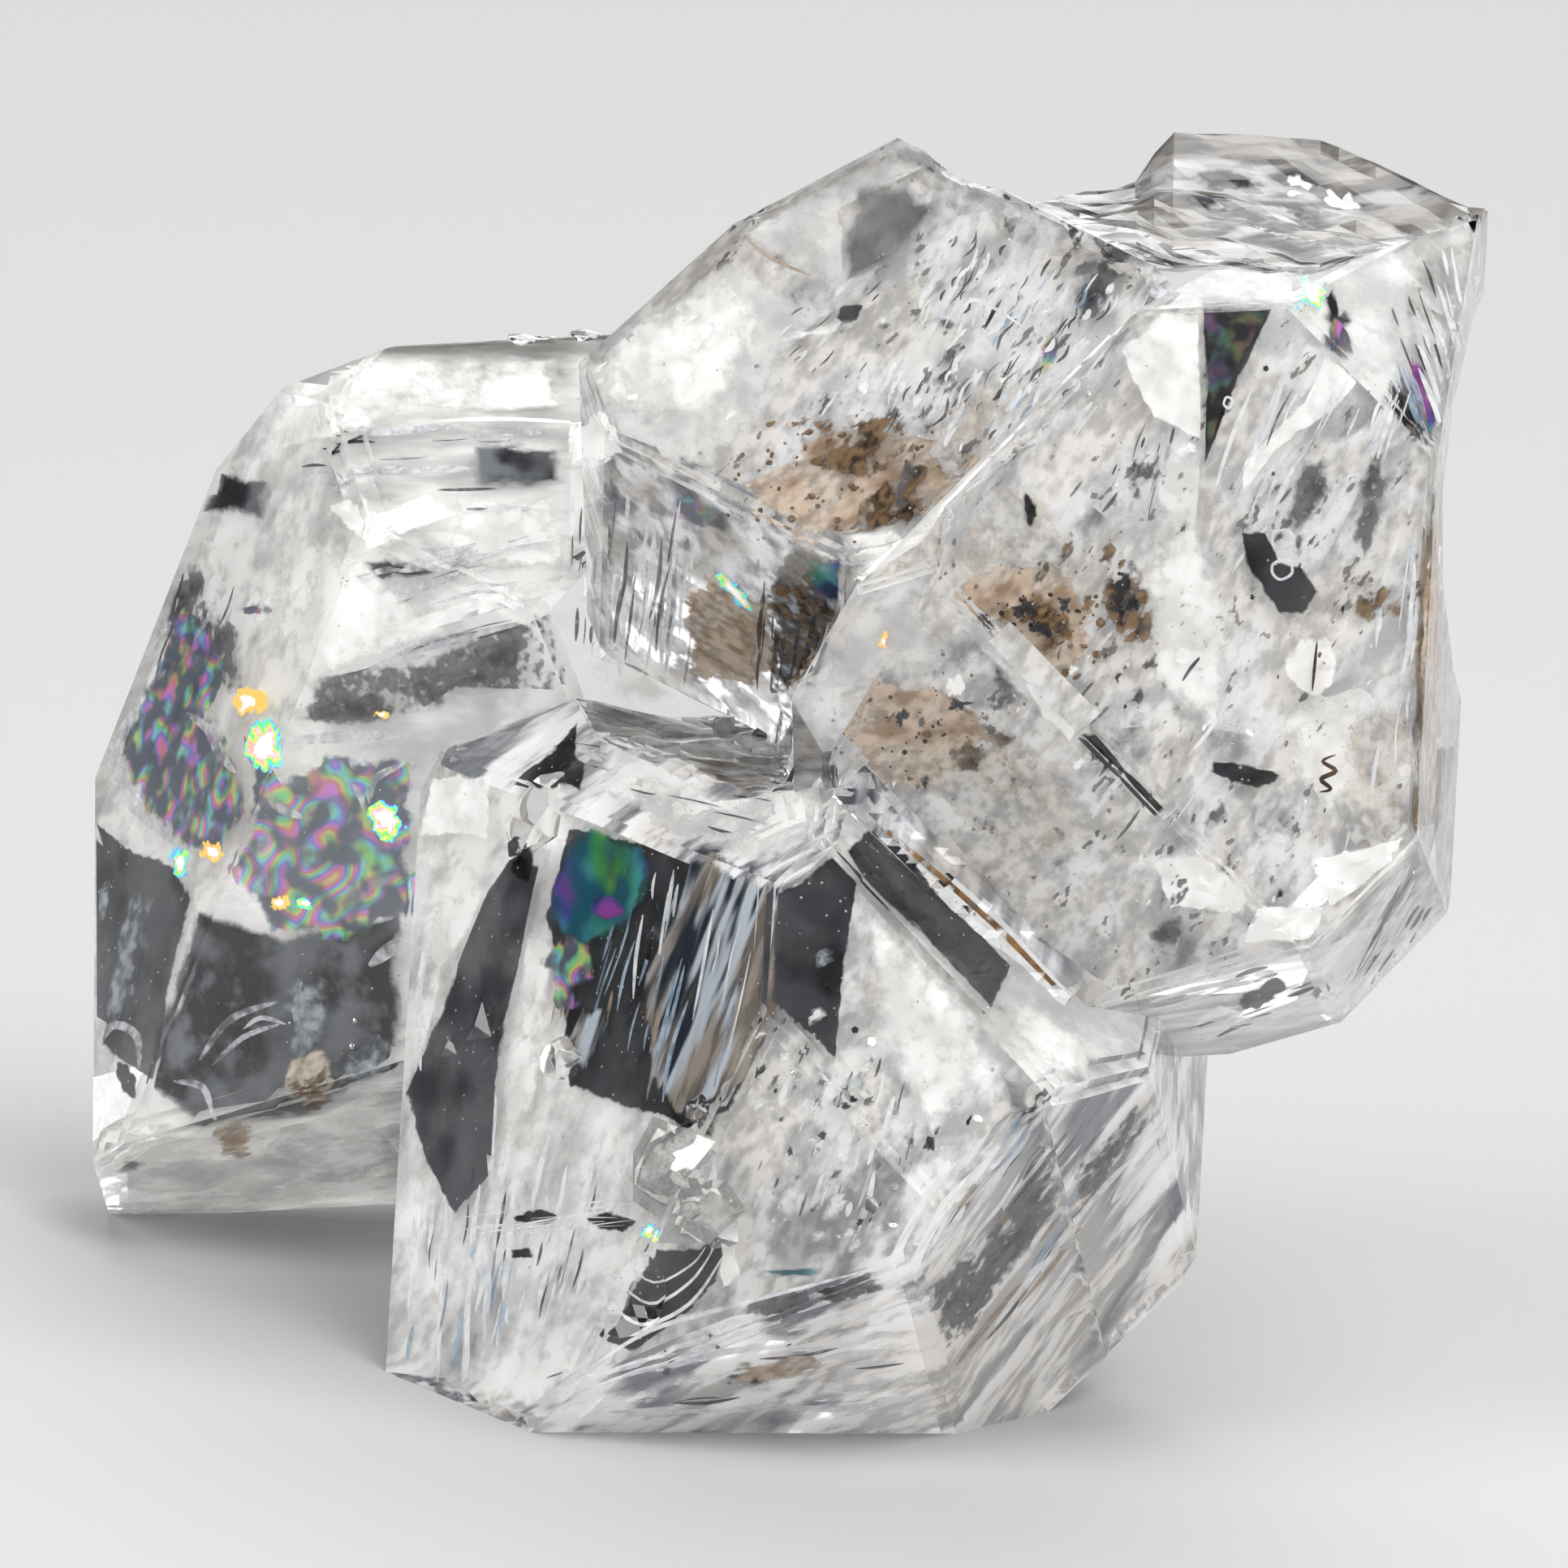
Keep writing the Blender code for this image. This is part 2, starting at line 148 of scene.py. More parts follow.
def shader_group(name: str, inputs: dict[str, Any], outputs: tuple[str, ...]) -> tuple[Any, Tree, Any, Any]:
    """Starts a shader node group with named sockets.

    Args:
        name: the group's name.
        inputs: each input's name and its default; a tuple makes a vector socket and a number a float.
        outputs: the name of each output, all of them numbers.

    Returns:
        The group, a hand on its tree, its input sockets and its output node.
    """
    group = bpy.data.node_groups.new(name, "ShaderNodeTree")
    for title, default in inputs.items():
        kind = "NodeSocketVector" if isinstance(default, tuple) else "NodeSocketFloat"
        group.interface.new_socket(title, in_out="INPUT", socket_type=kind).default_value = default
    for title in outputs:
        group.interface.new_socket(title, in_out="OUTPUT", socket_type="NodeSocketFloat")
    tree = Tree(group)
    return group, tree, tree.add("NodeGroupInput").outputs, tree.add("NodeGroupOutput")


class Groups:
    """The shader node groups that more than one finish uses, each built once."""

    # Torn clouds: the crumbs' share, how much finer the coarse tone and the shards are than the patches, and
    # how much of the fine tone is left where a patch is thin.
    crumb_share: float = 0.35
    coarse_finer: float = 1.7
    shard_finer: float = 2.6
    thin_share: float = 0.3
    thick: Spot = (0.40, 0.60)
    tinted: Spot = (0.44, 0.60)

    # Dust: its scale, the specks' rim and heart, and how rare they are.
    dust_scale: float = 5200.0
    dust_size: Spot = (0.26, 0.12)
    dust_rarity: float = 0.90

    # Growth lines: how squarely a face may look along the axis and still run along it.
    square_on: Spot = (0.08, 0.02)

    def __init__(self) -> None:
        """Builds the groups."""
        self.mottle = self.build_mottle()
        self.striae = self.build_striae()

    def build_mottle(self) -> bpy.types.NodeTree:
        """Torn clouds: soft patches with crumbly rims, a finer tone with sharp shards, a tint and dust.

        Returns:
            The group, with the outputs Torn, Mask, Tone, Tint, Shard and Dust.
        """
        inputs = {
            "Place": (0.0, 0.0, 0.0),
            "Patch": 400.0,
            "Crumb": 2500.0,
            "Low": 0.4,
            "High": 0.6,
            "Fine": 0.7,
            "Bite": 0.12,
        }
        outputs = ("Torn", "Mask", "Tone", "Tint", "Shard", "Dust")
        group, tree, take, result = shader_group("mottle", inputs, outputs)
        patch = tree.noise(take["Place"], take["Patch"], 2.0)
        crumb = tree.noise(take["Place"], take["Crumb"], 3.0)
        clouds = tree.math("MULTIPLY", patch, 1.0 - self.crumb_share)
        torn = tree.math("MULTIPLY_ADD", crumb, self.crumb_share, clouds)
        tree.put(result, "Torn", torn)
        tree.put(result, "Mask", tree.ramp(torn, take["Low"], take["High"]))
        coarse = tree.noise(take["Place"], tree.math("MULTIPLY", take["Patch"], self.coarse_finer), 1.0)
        thick = tree.ramp(patch, *self.thick)
        kept = tree.math("MULTIPLY_ADD", thick, 1.0 - self.thin_share, self.thin_share)
        rough = tree.math("MULTIPLY", take["Fine"], kept)
        blend = tree.math("MULTIPLY_ADD", tree.math("SUBTRACT", crumb, coarse), rough, coarse)
        low, high = tree.math("SUBTRACT", 0.5, take["Bite"]), tree.math("ADD", 0.5, take["Bite"])
        tree.put(result, "Tone", tree.ramp(blend, low, high))
        cell_scale = tree.math("MULTIPLY", take["Patch"], self.shard_finer)
        cells = tree.add("ShaderNodeTexVoronoi", {"Vector": take["Place"], "Scale": cell_scale})
        shard = tree.add("ShaderNodeSeparateColor", {"Color": cells.outputs["Color"]}).outputs[1]
        tree.put(result, "Shard", shard)
        tree.put(result, "Tint", tree.ramp(patch, *self.tinted))
        specks = tree.add("ShaderNodeTexVoronoi", {"Vector": take["Place"], "Scale": self.dust_scale})
        chosen = tree.add("ShaderNodeSeparateColor", {"Color": specks.outputs["Color"]}).outputs[0]
        near = tree.ramp(specks.outputs["Distance"], *self.dust_size)
        rare = tree.math("GREATER_THAN", chosen, self.dust_rarity)
        tree.put(result, "Dust", tree.math("MULTIPLY", near, rare))
        return group

    def build_striae(self) -> bpy.types.NodeTree:
        """Where a point lies along a crystal's axis, on the faces that run along it.

        Returns:
            The group, with the outputs Along and Facing.
        """
        inputs = {"Place": (0.0, 0.0, 0.0), "Normal": (0.0, 0.0, 1.0), "Axis": (0.0, 0.0, 1.0)}
        group, tree, take, result = shader_group("striae", inputs, ("Along", "Facing"))
        square = tree.math("ABSOLUTE", tree.dot(take["Normal"], take["Axis"]))
        facing = tree.ramp(square, *self.square_on)
        tree.put(result, "Along", tree.math("MULTIPLY", tree.dot(take["Place"], take["Axis"]), facing))
        tree.put(result, "Facing", facing)
        return group


# --- finishes ------------------------------------------------------------------------------------

# How far in from a film's rim it starts to show, as the rim attribute counts.
FIRST_SIGHT = 0.04


def ragged_rim(tree: Tree, torn: bpy.types.NodeSocket, ragged: float) -> bpy.types.NodeSocket:
    """How far a point is from its film's rim, made uneven by the clouds.

    Args:
        tree: a hand on the material's tree.
        torn: the clouds, from 0 to 1.
        ragged: how much they tear the rim.

    Returns:
        About 0 at the rim and 1 well inside it.
    """
    rim = tree.add("ShaderNodeAttribute", attribute_name=RIM).outputs["Fac"]
    return tree.math("MULTIPLY_ADD", tree.math("SUBTRACT", torn, 0.5), ragged, rim)


def new_material(name: str) -> tuple[bpy.types.Material, Tree, bpy.types.Node]:
    """Starts a material.

    Args:
        name: its name.

    Returns:
        The material, a hand on its tree and its Principled BSDF.
    """
    made = bpy.data.materials.new(name)
    made.use_nodes = True
    return made, Tree(made.node_tree), made.node_tree.nodes["Principled BSDF"]


@dataclass(frozen=True)
class Quartz:
    """The clear crystal: see-through, with growth lines on its prism faces, faint on those in front."""

    axes: tuple[Vector, ...]
    name: str = "clear_quartz"
    lines: float = 700.0
    line_depth: float = 0.35
    front_share: float = 0.02
    fade: Spot = (-0.15, 0.25)
    bump: float = 0.6 * MM

    def material(self, groups: Groups) -> bpy.types.Material:
        """Builds the crystal's material.

        Args:
            groups: the shared node groups.

        Returns:
            The material.
        """
        made, tree, surface = new_material(self.name)
        tree.put(surface, "Base Color", (1.0, 1.0, 1.0, 1.0))
        tree.put(surface, "Roughness", 0.0)
        tree.put(surface, "IOR", QUARTZ_IOR)
        tree.put(surface, "Transmission Weight", 1.0)
        place = tree.add("ShaderNodeTexCoord").outputs
        behind = tree.ramp(tree.dot(place["Normal"], (0.0, 1.0, 0.0)), *self.fade)
        share = tree.math("MAXIMUM", behind, self.front_share)
        along: Any = 0.0
        facing: Any = 0.0
        for axis in self.axes:
            striae = tree.add("ShaderNodeGroup", node_tree=groups.striae)
            values = {"Place": place["Object"], "Normal": place["Normal"], "Axis": tuple(axis)}
            for name, value in values.items():
                tree.put(striae, name, value)
            along = tree.math("ADD", along, striae.outputs["Along"])
            facing = tree.math("MAXIMUM", facing, striae.outputs["Facing"])
        inputs = {"W": along, "Scale": self.lines, "Detail": 1.0}
        line = tree.add("ShaderNodeTexNoise", inputs, noise_dimensions="1D").outputs["Fac"]
        height = tree.math("MULTIPLY", tree.math("MULTIPLY", line, facing), self.line_depth)
        total = tree.math("MULTIPLY", height, share)
        bump = tree.add("ShaderNodeBump", {"Height": total, "Strength": 1.0, "Distance": self.bump})
        tree.put(surface, "Normal", bump.outputs["Normal"])
        return made


@dataclass(frozen=True)
class Veil:
    """A film of milk, clay or painted shade inside the crystal, torn into clouds or drawn out in streaks."""

    name: str
    pale: Colour
    dark: Colour
    tint: Colour | None = None
    patch: float = 400.0
    crumb: float = 2500.0
    low: float = 0.42
    high: float = 0.58
    least: float = 0.0
    most: float = 0.9
    dust: Colour | None = None
    stretch: float = 1.0
    lean: float = 0.0
    rough: float = 0.9
    # Painted light: how much the film glows, though it is no lamp.
    glow: float = 0.0
    fine: float = 0.7
    shard: float = 0.0
    soft: float = 0.0
    ragged: float = 0.9
    bite: float = 0.12
    tint_depth: float = 0.55

    def place(self, tree: Tree) -> bpy.types.NodeSocket:
        """Draws the pattern out along a line that leans from upright as the eye sees it.

        Args:
            tree: a hand on the material's tree.

        Returns:
            The pattern's place.
        """
        place = tree.add("ShaderNodeTexCoord").outputs["Object"]
        if self.stretch == 1.0:
            return place
        turn, scale = (0, math.radians(-self.lean), 0), (1, 1, 1 / self.stretch)
        turned = tree.add("ShaderNodeMapping", {"Vector": place, "Rotation": turn}).outputs[0]
        return tree.add("ShaderNodeMapping", {"Vector": turned, "Scale": scale}).outputs[0]

    def material(self, groups: Groups) -> bpy.types.Material:
        """Builds the film's material.

        Args:
            groups: the shared node groups.

        Returns:
            The material.
        """
        made, tree, surface = new_material(self.name)
        mottle = tree.add("ShaderNodeGroup", node_tree=groups.mottle)
        values = {
            "Place": self.place(tree),
            "Patch": self.patch,
            "Crumb": self.crumb,
            "Low": self.low,
            "High": self.high,
            "Fine": self.fine,
            "Bite": self.bite,
        }
        for name, value in values.items():
            tree.put(mottle, name, value)
        out = mottle.outputs
        dark, pale = self.dark, self.pale
        if self.tint:
            dark = tree.mix(out["Tint"], dark, tuple(part * self.tint_depth for part in self.tint))
            pale = tree.mix(out["Tint"], pale, self.tint)
        tone = out["Tone"]
        if self.shard:
            tone = tree.math("MULTIPLY_ADD", tree.math("SUBTRACT", out["Shard"], tone), self.shard, tone)
        colour = tree.mix(tone, dark, pale)
        cover = tree.math("MULTIPLY_ADD", out["Mask"], self.most - self.least, self.least)
        if self.soft:
            near = ragged_rim(tree, out["Torn"], self.ragged)
            cover = tree.math("MULTIPLY", cover, tree.ramp(near, FIRST_SIGHT, FIRST_SIGHT + self.soft))
        if self.dust:
            colour = tree.mix(out["Dust"], colour, self.dust)
            cover = tree.math("MAXIMUM", cover, out["Dust"])
        tree.put(surface, "Base Color", colour)
        tree.put(surface, "Roughness", self.rough)
        tree.put(surface, "Specular IOR Level", 0.0)
        tree.put(surface, "Alpha", cover)
        # Painted light: the film glows in its own colour, though it is no lamp.
        if self.glow:
            tree.put(surface, "Emission Color", colour)
            tree.put(surface, "Emission Strength", self.glow)
        made.cycles.emission_sampling = "NONE"
        return made


@dataclass(frozen=True)
class Rainbow:
    """A crack so thin that it shows the colours of a soap film, in spots on a grey ground."""

    name: str
    ground: Colour = (0.20, 0.215, 0.25)
    scale: float = 900.0
    bands: float = 4.0
    strength: float = 0.5
    hue: float = 0.0
    cover: float = 0.85
    bright: float = 0.75
    # Painted light: how much the film glows.
    glow: float = 0.1
    spots: float = 0.5
    spot_rim: float = 0.14
    spot_finer: float = 1.7
    crumb_finer: float = 3.0
    low: float = 0.30
    high: float = 0.46
    least: float = 0.6
    ragged: float = 2.0
    soft: float = 0.35

    def material(self, groups: Groups) -> bpy.types.Material:
        """Builds the film's material.

        Args:
            groups: the shared node groups.

        Returns:
            The material.
        """
        made, tree, surface = new_material(self.name)
        place = tree.add("ShaderNodeTexCoord").outputs["Object"]
        mottle = tree.add("ShaderNodeGroup", node_tree=groups.mottle)
        crumb = self.scale * self.crumb_finer
        values = {"Place": place, "Patch": self.scale, "Crumb": crumb, "Low": self.low, "High": self.high}
        for name, value in values.items():
            tree.put(mottle, name, value)
        out = mottle.outputs
        film = tree.noise(place, self.scale, 0.0)
        hue = tree.math("FRACT", tree.math("MULTIPLY_ADD", film, self.bands, self.hue))
        parts = {0: hue, 1: self.strength, 2: self.bright}
        hued = tree.add("ShaderNodeCombineColor", parts, mode="HSV").outputs[0]
        clusters = tree.noise(place, self.scale * self.spot_finer, 1.0)
        spots = tree.ramp(clusters, self.spots - self.spot_rim, self.spots + self.spot_rim)
        colour = tree.mix(spots, self.ground, hued)
        near = ragged_rim(tree, out["Torn"], self.ragged)
        kept = tree.math("MULTIPLY_ADD", out["Mask"], 1.0 - self.least, self.least)
        cover = tree.math("MULTIPLY", kept, self.cover)
        tree.put(surface, "Base Color", colour)
        tree.put(surface, "Roughness", 0.5)
        tree.put(surface, "Specular IOR Level", 0.0)
        shown = tree.ramp(near, FIRST_SIGHT, FIRST_SIGHT + self.soft)
        tree.put(surface, "Alpha", tree.math("MULTIPLY", cover, shown))
        # Painted light: the film glows in its own colour.
        tree.put(surface, "Emission Color", colour)
        tree.put(surface, "Emission Strength", self.glow)
        made.cycles.emission_sampling = "NONE"
        return made


@dataclass(frozen=True)
class Glint:
    """A painted highlight: a small bright flash that glows, split into colours towards its rim."""

    name: str
    hue: float = 0.78
    turn: float = -2.3
    glow: float = 0.6
    patch: float = 1500.0
    crumb: float = 5000.0
    ragged: float = 1.6
    strength: float = 0.85
    white: Spot = (0.22, 0.55)
    soft: float = 0.10

    def material(self, groups: Groups) -> bpy.types.Material:
        """Builds the flash's material.

        Args:
            groups: the shared node groups.

        Returns:
            The material.
        """
        made, tree, surface = new_material(self.name)
        place = tree.add("ShaderNodeTexCoord").outputs["Object"]
        mottle = tree.add("ShaderNodeGroup", node_tree=groups.mottle)
        for name, value in {"Place": place, "Patch": self.patch, "Crumb": self.crumb}.items():
            tree.put(mottle, name, value)
        near = ragged_rim(tree, mottle.outputs["Torn"], self.ragged)
        hue = tree.math("FRACT", tree.math("MULTIPLY_ADD", near, self.turn, self.hue))
        strength = tree.math("SUBTRACT", self.strength, tree.ramp(near, *self.white))
        colour = tree.add("ShaderNodeCombineColor", {0: hue, 1: strength, 2: 1.0}, mode="HSV").outputs[0]
        tree.put(surface, "Base Color", colour)
        tree.put(surface, "Roughness", 0.5)
        tree.put(surface, "Specular IOR Level", 0.0)
        tree.put(surface, "Alpha", tree.ramp(near, 0.0, self.soft))
        # Painted highlight: the flash glows in its own colour.
        tree.put(surface, "Emission Color", colour)
        tree.put(surface, "Emission Strength", self.glow)
        made.cycles.emission_sampling = "NONE"
        return made


@dataclass(frozen=True)
class Grain:
    """Small solid specks: coal-black, rusty or milky, each a little uneven in tone."""

    name: str
    pale: Colour
    dark: Colour
    scale: float = 6000.0
    rough: float = 0.5
    metal: float = 0.0

    def material(self, groups: Groups) -> bpy.types.Material:
        """Builds the specks' material.

        Args:
            groups: the shared node groups.

        Returns:
            The material.
        """
        made, tree, surface = new_material(self.name)
        place = tree.add("ShaderNodeTexCoord").outputs["Object"]
        mottle = tree.add("ShaderNodeGroup", {"Place": place, "Crumb": self.scale}, node_tree=groups.mottle)
        tree.put(surface, "Base Color", tree.mix(mottle.outputs["Tone"], self.dark, self.pale))
        tree.put(surface, "Roughness", self.rough)
        tree.put(surface, "Metallic", self.metal)
        return made


# --- the studio ----------------------------------------------------------------------------------


@dataclass(frozen=True)
class Eye:
    """The camera, and the viewing grid that places inside the crystals are given on."""

    target: Vector = Vector((-0.54, 0.0, 18.30)) * MM
    across: Vector = Vector((0.99831, 0.0, 0.05818))
    up: Vector = Vector((-0.05684, 0.21280, 0.97544))
    toward: Vector = Vector((-0.01238, -0.97710, 0.21244))
    distance: float = 1.2
    sensor: float = 36.0

    def place(self) -> Vector:
        """Where the camera stands."""
        return self.target + self.toward * self.distance

    def ray(self, spot: Spot) -> Vector:
        """Aims through the viewing grid.

        Args:
            spot: a spot of the grid.

        Returns:
            The direction from the camera through it.
        """
        middle = GRID / 2
        seen = self.across * ((spot[0] - middle) * STEP) + self.up * ((middle - spot[1]) * STEP)
        return (self.target + seen - self.place()).normalized()

    def spot(self, point: Vector) -> Vector:
        """Finds where a point is seen.

        Args:
            point: the point.

        Returns:
            Its spot on the viewing grid.
        """
        seen = point - self.place()
        far = -seen.dot(self.toward)
        middle, steps = GRID / 2, self.distance / (far * STEP)
        return Vector((middle + seen.dot(self.across) * steps, middle - seen.dot(self.up) * steps))

    def build(self) -> None:
        """Sets the camera up."""
        data = bpy.data.cameras.new("camera")
        data.sensor_width = self.sensor
        data.lens = self.sensor * self.distance / (GRID * STEP)
        data.clip_start, data.clip_end = 0.05, 20.0
        held = bpy.data.objects.new("camera", data)
        bpy.context.scene.collection.objects.link(held)
        turn = Matrix((self.across, self.up, self.toward)).transposed()
        held.matrix_world = Matrix.Translation(self.place()) @ turn.to_4x4()
        bpy.context.scene.camera = held


@dataclass(frozen=True)
class Lamp:
    """One soft square light that looks at the cluster."""

    name: str
    azimuth: float
    elevation: float
    side: float
    power: float
    reach: float = 0.9

    def build(self, target: Vector) -> None:
        """Hangs the light.

        Args:
            target: the point that it looks at.
        """
        a, e = math.radians(self.azimuth), math.radians(self.elevation)
        aim = Vector((math.sin(a) * math.cos(e), -math.cos(a) * math.cos(e), math.sin(e)))
        data = bpy.data.lights.new(self.name, "AREA")
        data.shape = "SQUARE"
        data.size = self.side
        data.energy = self.power
        hung = bpy.data.objects.new(self.name, data)
        bpy.context.scene.collection.objects.link(hung)
        hung.location = target + aim * self.reach
        hung.rotation_mode = "QUATERNION"
        hung.rotation_quaternion = (-aim).to_track_quat("-Z", "Y")


@dataclass(frozen=True)
class Studio:
    """The plain pale floor, the dim room and the soft lights."""

    eye: Eye
    floor_side: float = 6.0
    floor_colour: Colour = (0.42, 0.42, 0.42)
    room_colour: Colour = (0.05, 0.05, 0.055)
    wall_colour: Colour = (0.72, 0.72, 0.72)
    lamps: tuple[Lamp, ...] = (
        Lamp("key", 40.0, 55.0, 0.7, 12.2),
        Lamp("fill", -60.0, 30.0, 0.6, 7.0),
        Lamp("back", 170.0, 50.0, 0.8, 6.0),
    )

    def floor(self) -> None:
        """Lays the floor."""
        half = self.floor_side / 2
        mesh = bpy.data.meshes.new("floor")
        corners = [(-half, -half, 0), (half, -half, 0), (half, half, 0), (-half, half, 0)]
        mesh.from_pydata(corners, [], [(0, 1, 2, 3)])
        laid = bpy.data.objects.new("floor", mesh)
        bpy.context.scene.collection.objects.link(laid)
        made, tree, surface = new_material("pale_floor")
        tree.put(surface, "Base Color", (*self.floor_colour, 1.0))
        tree.put(surface, "Roughness", 0.6)
        mesh.materials.append(made)

    def room(self) -> None:
        """Fills the room with a dim light, behind a wall that the eye sees as pale."""
        made = bpy.data.worlds.new("room")
        made.use_nodes = True
        tree = Tree(made.node_tree)
        path = tree.add("ShaderNodeLightPath")
        seen = tree.mix(path.outputs["Is Camera Ray"], self.room_colour, self.wall_colour)
        tree.put(made.node_tree.nodes["Background"], "Color", seen)
        bpy.context.scene.world = made

    def build(self) -> None:
        """Sets up the whole studio."""
        self.eye.build()
        self.floor()
        self.room()
        for lamp in self.lamps:
            lamp.build(self.eye.target)
        bpy.context.scene.view_settings.view_transform = "Standard"
        light_paths = bpy.context.scene.cycles
        light_paths.max_bounces = 8
        light_paths.diffuse_bounces = 1
        light_paths.transmission_bounces = 8
        light_paths.glossy_bounces = 3
        light_paths.transparent_max_bounces = 16


# --- the inside of the crystals ------------------------------------------------------------------


# A ray starts this far past a face, so that it doesn't meet it again.
CLEAR = 1e-5

# How much of the way through the crystal a film may go.
NEARLY_THROUGH = 0.85

# Faces are one flat face if they are this level and this parallel, and corners this near are one corner.
LEVEL = 0.1 * MM
PARALLEL = 0.9995
SAME_CORNER = 1e-6

# A facet is seen if the eye's ray ends this near its middle.
SEEN = 0.02 * MM


def within(spot: Vector, rim: list[Vector]) -> bool:
    """Tells whether a spot lies inside a closed rim.

    Args:
        spot: a spot of the viewing grid.
        rim: the rim's corners, in order.

    Returns:
        True if it does.
    """
    inside = False
    for one, two in zip(rim, rim[1:] + rim[:1]):
        if (one.y > spot.y) != (two.y > spot.y):
            inside ^= spot.x < one.x + (two.x - one.x) * (spot.y - one.y) / (two.y - one.y)
    return inside


class Inside:
    """Finds places inside the clear cluster as the eye sees them, through its faces."""

    def __init__(self, cluster: bpy.types.Object, eye: Eye) -> None:
        """Reads the cluster's solid.

        Args:
            cluster: the CAD node's object.
            eye: the camera.
        """
        mesh = cluster.data
        points = [vertex.co.copy() for vertex in mesh.vertices]
        self.tree = BVHTree.FromPolygons(points, [tuple(face.vertices) for face in mesh.polygons])
        self.corners = [[points[index] for index in face.vertices] for face in mesh.polygons]
        self.eye = eye

    def face(self, spot: Spot) -> tuple[Vector, Vector] | None:
        """Finds the face that is seen at a spot.

        Args:
            spot: a spot of the viewing grid.

        Returns:
            The point and the outward normal there, or None past the cluster's outline.
        """
        aim = self.eye.ray(spot)
        point, normal, _, _ = self.tree.ray_cast(self.eye.place(), aim)
        if point is None:
            return None
        return point, normal if normal.dot(aim) < 0 else -normal

    def region(self, spot: Spot) -> bmesh.types.BMesh:
        """Copies the flat face that is seen at a spot.

        Args:
            spot: a spot of the viewing grid.

        Returns:
            The face as a mesh of its own.
        """
        point, normal = self.face(spot)
        flat = bmesh.new()
        for corners in self.corners:
            sides = (corners[1] - corners[0]).cross(corners[2] - corners[0])
            level = abs(normal.dot(corners[0] - point)) < LEVEL
            if level and sides.length > 0.0 and normal.dot(sides.normalized()) > PARALLEL:
                flat.faces.new([flat.verts.new(corner) for corner in corners])
        bmesh.ops.remove_doubles(flat, verts=flat.verts[:], dist=SAME_CORNER)
        return flat

    def bent(self, spot: Spot) -> tuple[Vector, Vector] | None:
        """Follows the eye's ray into the crystal.

        Args:
            spot: a spot of the viewing grid.

        Returns:
            The point that is seen there and the way that the ray goes on inside, or None past the outline.
        """
        found = self.face(spot)
        if found is None:
            return None
        point, normal = found
        aim = self.eye.ray(spot)
        ratio, straight = 1.0 / QUARTZ_IOR, -aim.dot(normal)
        bend = ratio * straight - math.sqrt(1.0 - ratio**2 * (1.0 - straight**2))
        return point, (ratio * aim + bend * normal).normalized()

    def beneath(self, point: Vector, depth: float, spot: Spot) -> Vector:
        """Goes in from a point the way that the eye looks through the face at a spot.

        Args:
            point: a point of that face.
            depth: how far in, or nearly through where the crystal is thinner.
            spot: the face's spot on the viewing grid.

        Returns:
            The place.
        """
        inward = self.bent(spot)[1]
        return point + inward * min(depth, self.room(point, inward))

    def sunk(self, point: Vector, depth: float) -> Vector:
        """Goes in from a point straight away from the eye.

        Args:
            point: a point of the surface.
            depth: how far in, or nearly through where the crystal is thinner.

        Returns:
            The place.
        """
        aim = (point - self.eye.place()).normalized()
        return point + aim * min(depth, self.room(point, aim))

    def room(self, point: Vector, aim: Vector) -> float:
        """How far a film may go in from a point of the surface, the way that the aim gives."""
        through = self.tree.ray_cast(point + aim * CLEAR, aim)[3]
        return (through or 0.0) * NEARLY_THROUGH

    def facets(self, rim: list[Vector], most: float) -> list[list[Vector]]:
        """The small facets that are seen inside a closed rim.

        Args:
            rim: the rim's corners on the viewing grid, in order.
            most: the longest side that a small facet may have.

        Returns:
            The corners of each facet.
        """
        found = []
        for corners in self.corners:
            middle = sum(corners, Vector()) / 3
            spot = self.eye.spot(middle)
            longest = max((one - two).length for one, two in zip(corners, corners[1:] + corners[:1]))
            if longest < most and within(spot, rim):
                seen = self.face(tuple(spot))
                if seen and (seen[0] - middle).length < SEEN:
                    found.append(corners)
        return found

    def clearance(self, place: Vector) -> float:
        """How far a place is from the nearest face."""
        return self.tree.find_nearest(place)[3]

    def at(self, spot: Spot, depth: float) -> Vector | None:
        """The place that is seen at a spot, the given way into the crystal; None past its outline."""
        found = self.bent(spot)
        return None if found is None else self.beneath(found[0], depth, spot)


class Shape:
    """Points and faces that are gathered and then made one piece."""

    def __init__(self) -> None:
        """Starts with nothing."""
        self.points: list[Vector] = []
        self.faces: list[Loop] = []
        self.rims: list[float] = []

    def add(self, points: list[Vector | None], faces: list[Loop], rims: list[float] | None = None) -> None:
        """Adds points, and the faces between them.

        Args:
            points: the points; None is one that isn't on the crystal, and its faces are left out.
            faces: the faces, which count from the first of these points.
            rims: how far each point is from the film's rim; well inside if not given.
        """
        first = len(self.points)
        self.points += [point or Vector() for point in points]
        self.rims += rims or [1.0] * len(points)
        whole = [face for face in faces if all(points[index] is not None for index in face)]
        self.faces += [tuple(first + index for index in face) for face in whole]

    def piece(self, name: str, material: bpy.types.Material) -> bpy.types.Object:
        """Makes the piece.

        Args:
            name: the piece's name.
            material: its material.

        Returns:
            The piece.
        """
        mesh = bpy.data.meshes.new(name)
        mesh.from_pydata(self.points, [], self.faces)
        mesh.attributes.new(RIM, "FLOAT", "POINT").data.foreach_set("value", self.rims)
        used = {index for face in self.faces for index in face}
        cut = bmesh.new()
        cut.from_mesh(mesh)
        loose = [vertex for vertex in cut.verts if vertex.index not in used]
        bmesh.ops.delete(cut, geom=loose, context="VERTS")
        cut.to_mesh(mesh)
        cut.free()
        mesh.materials.append(material)
        return keep(bpy.data.objects.new(name, mesh))


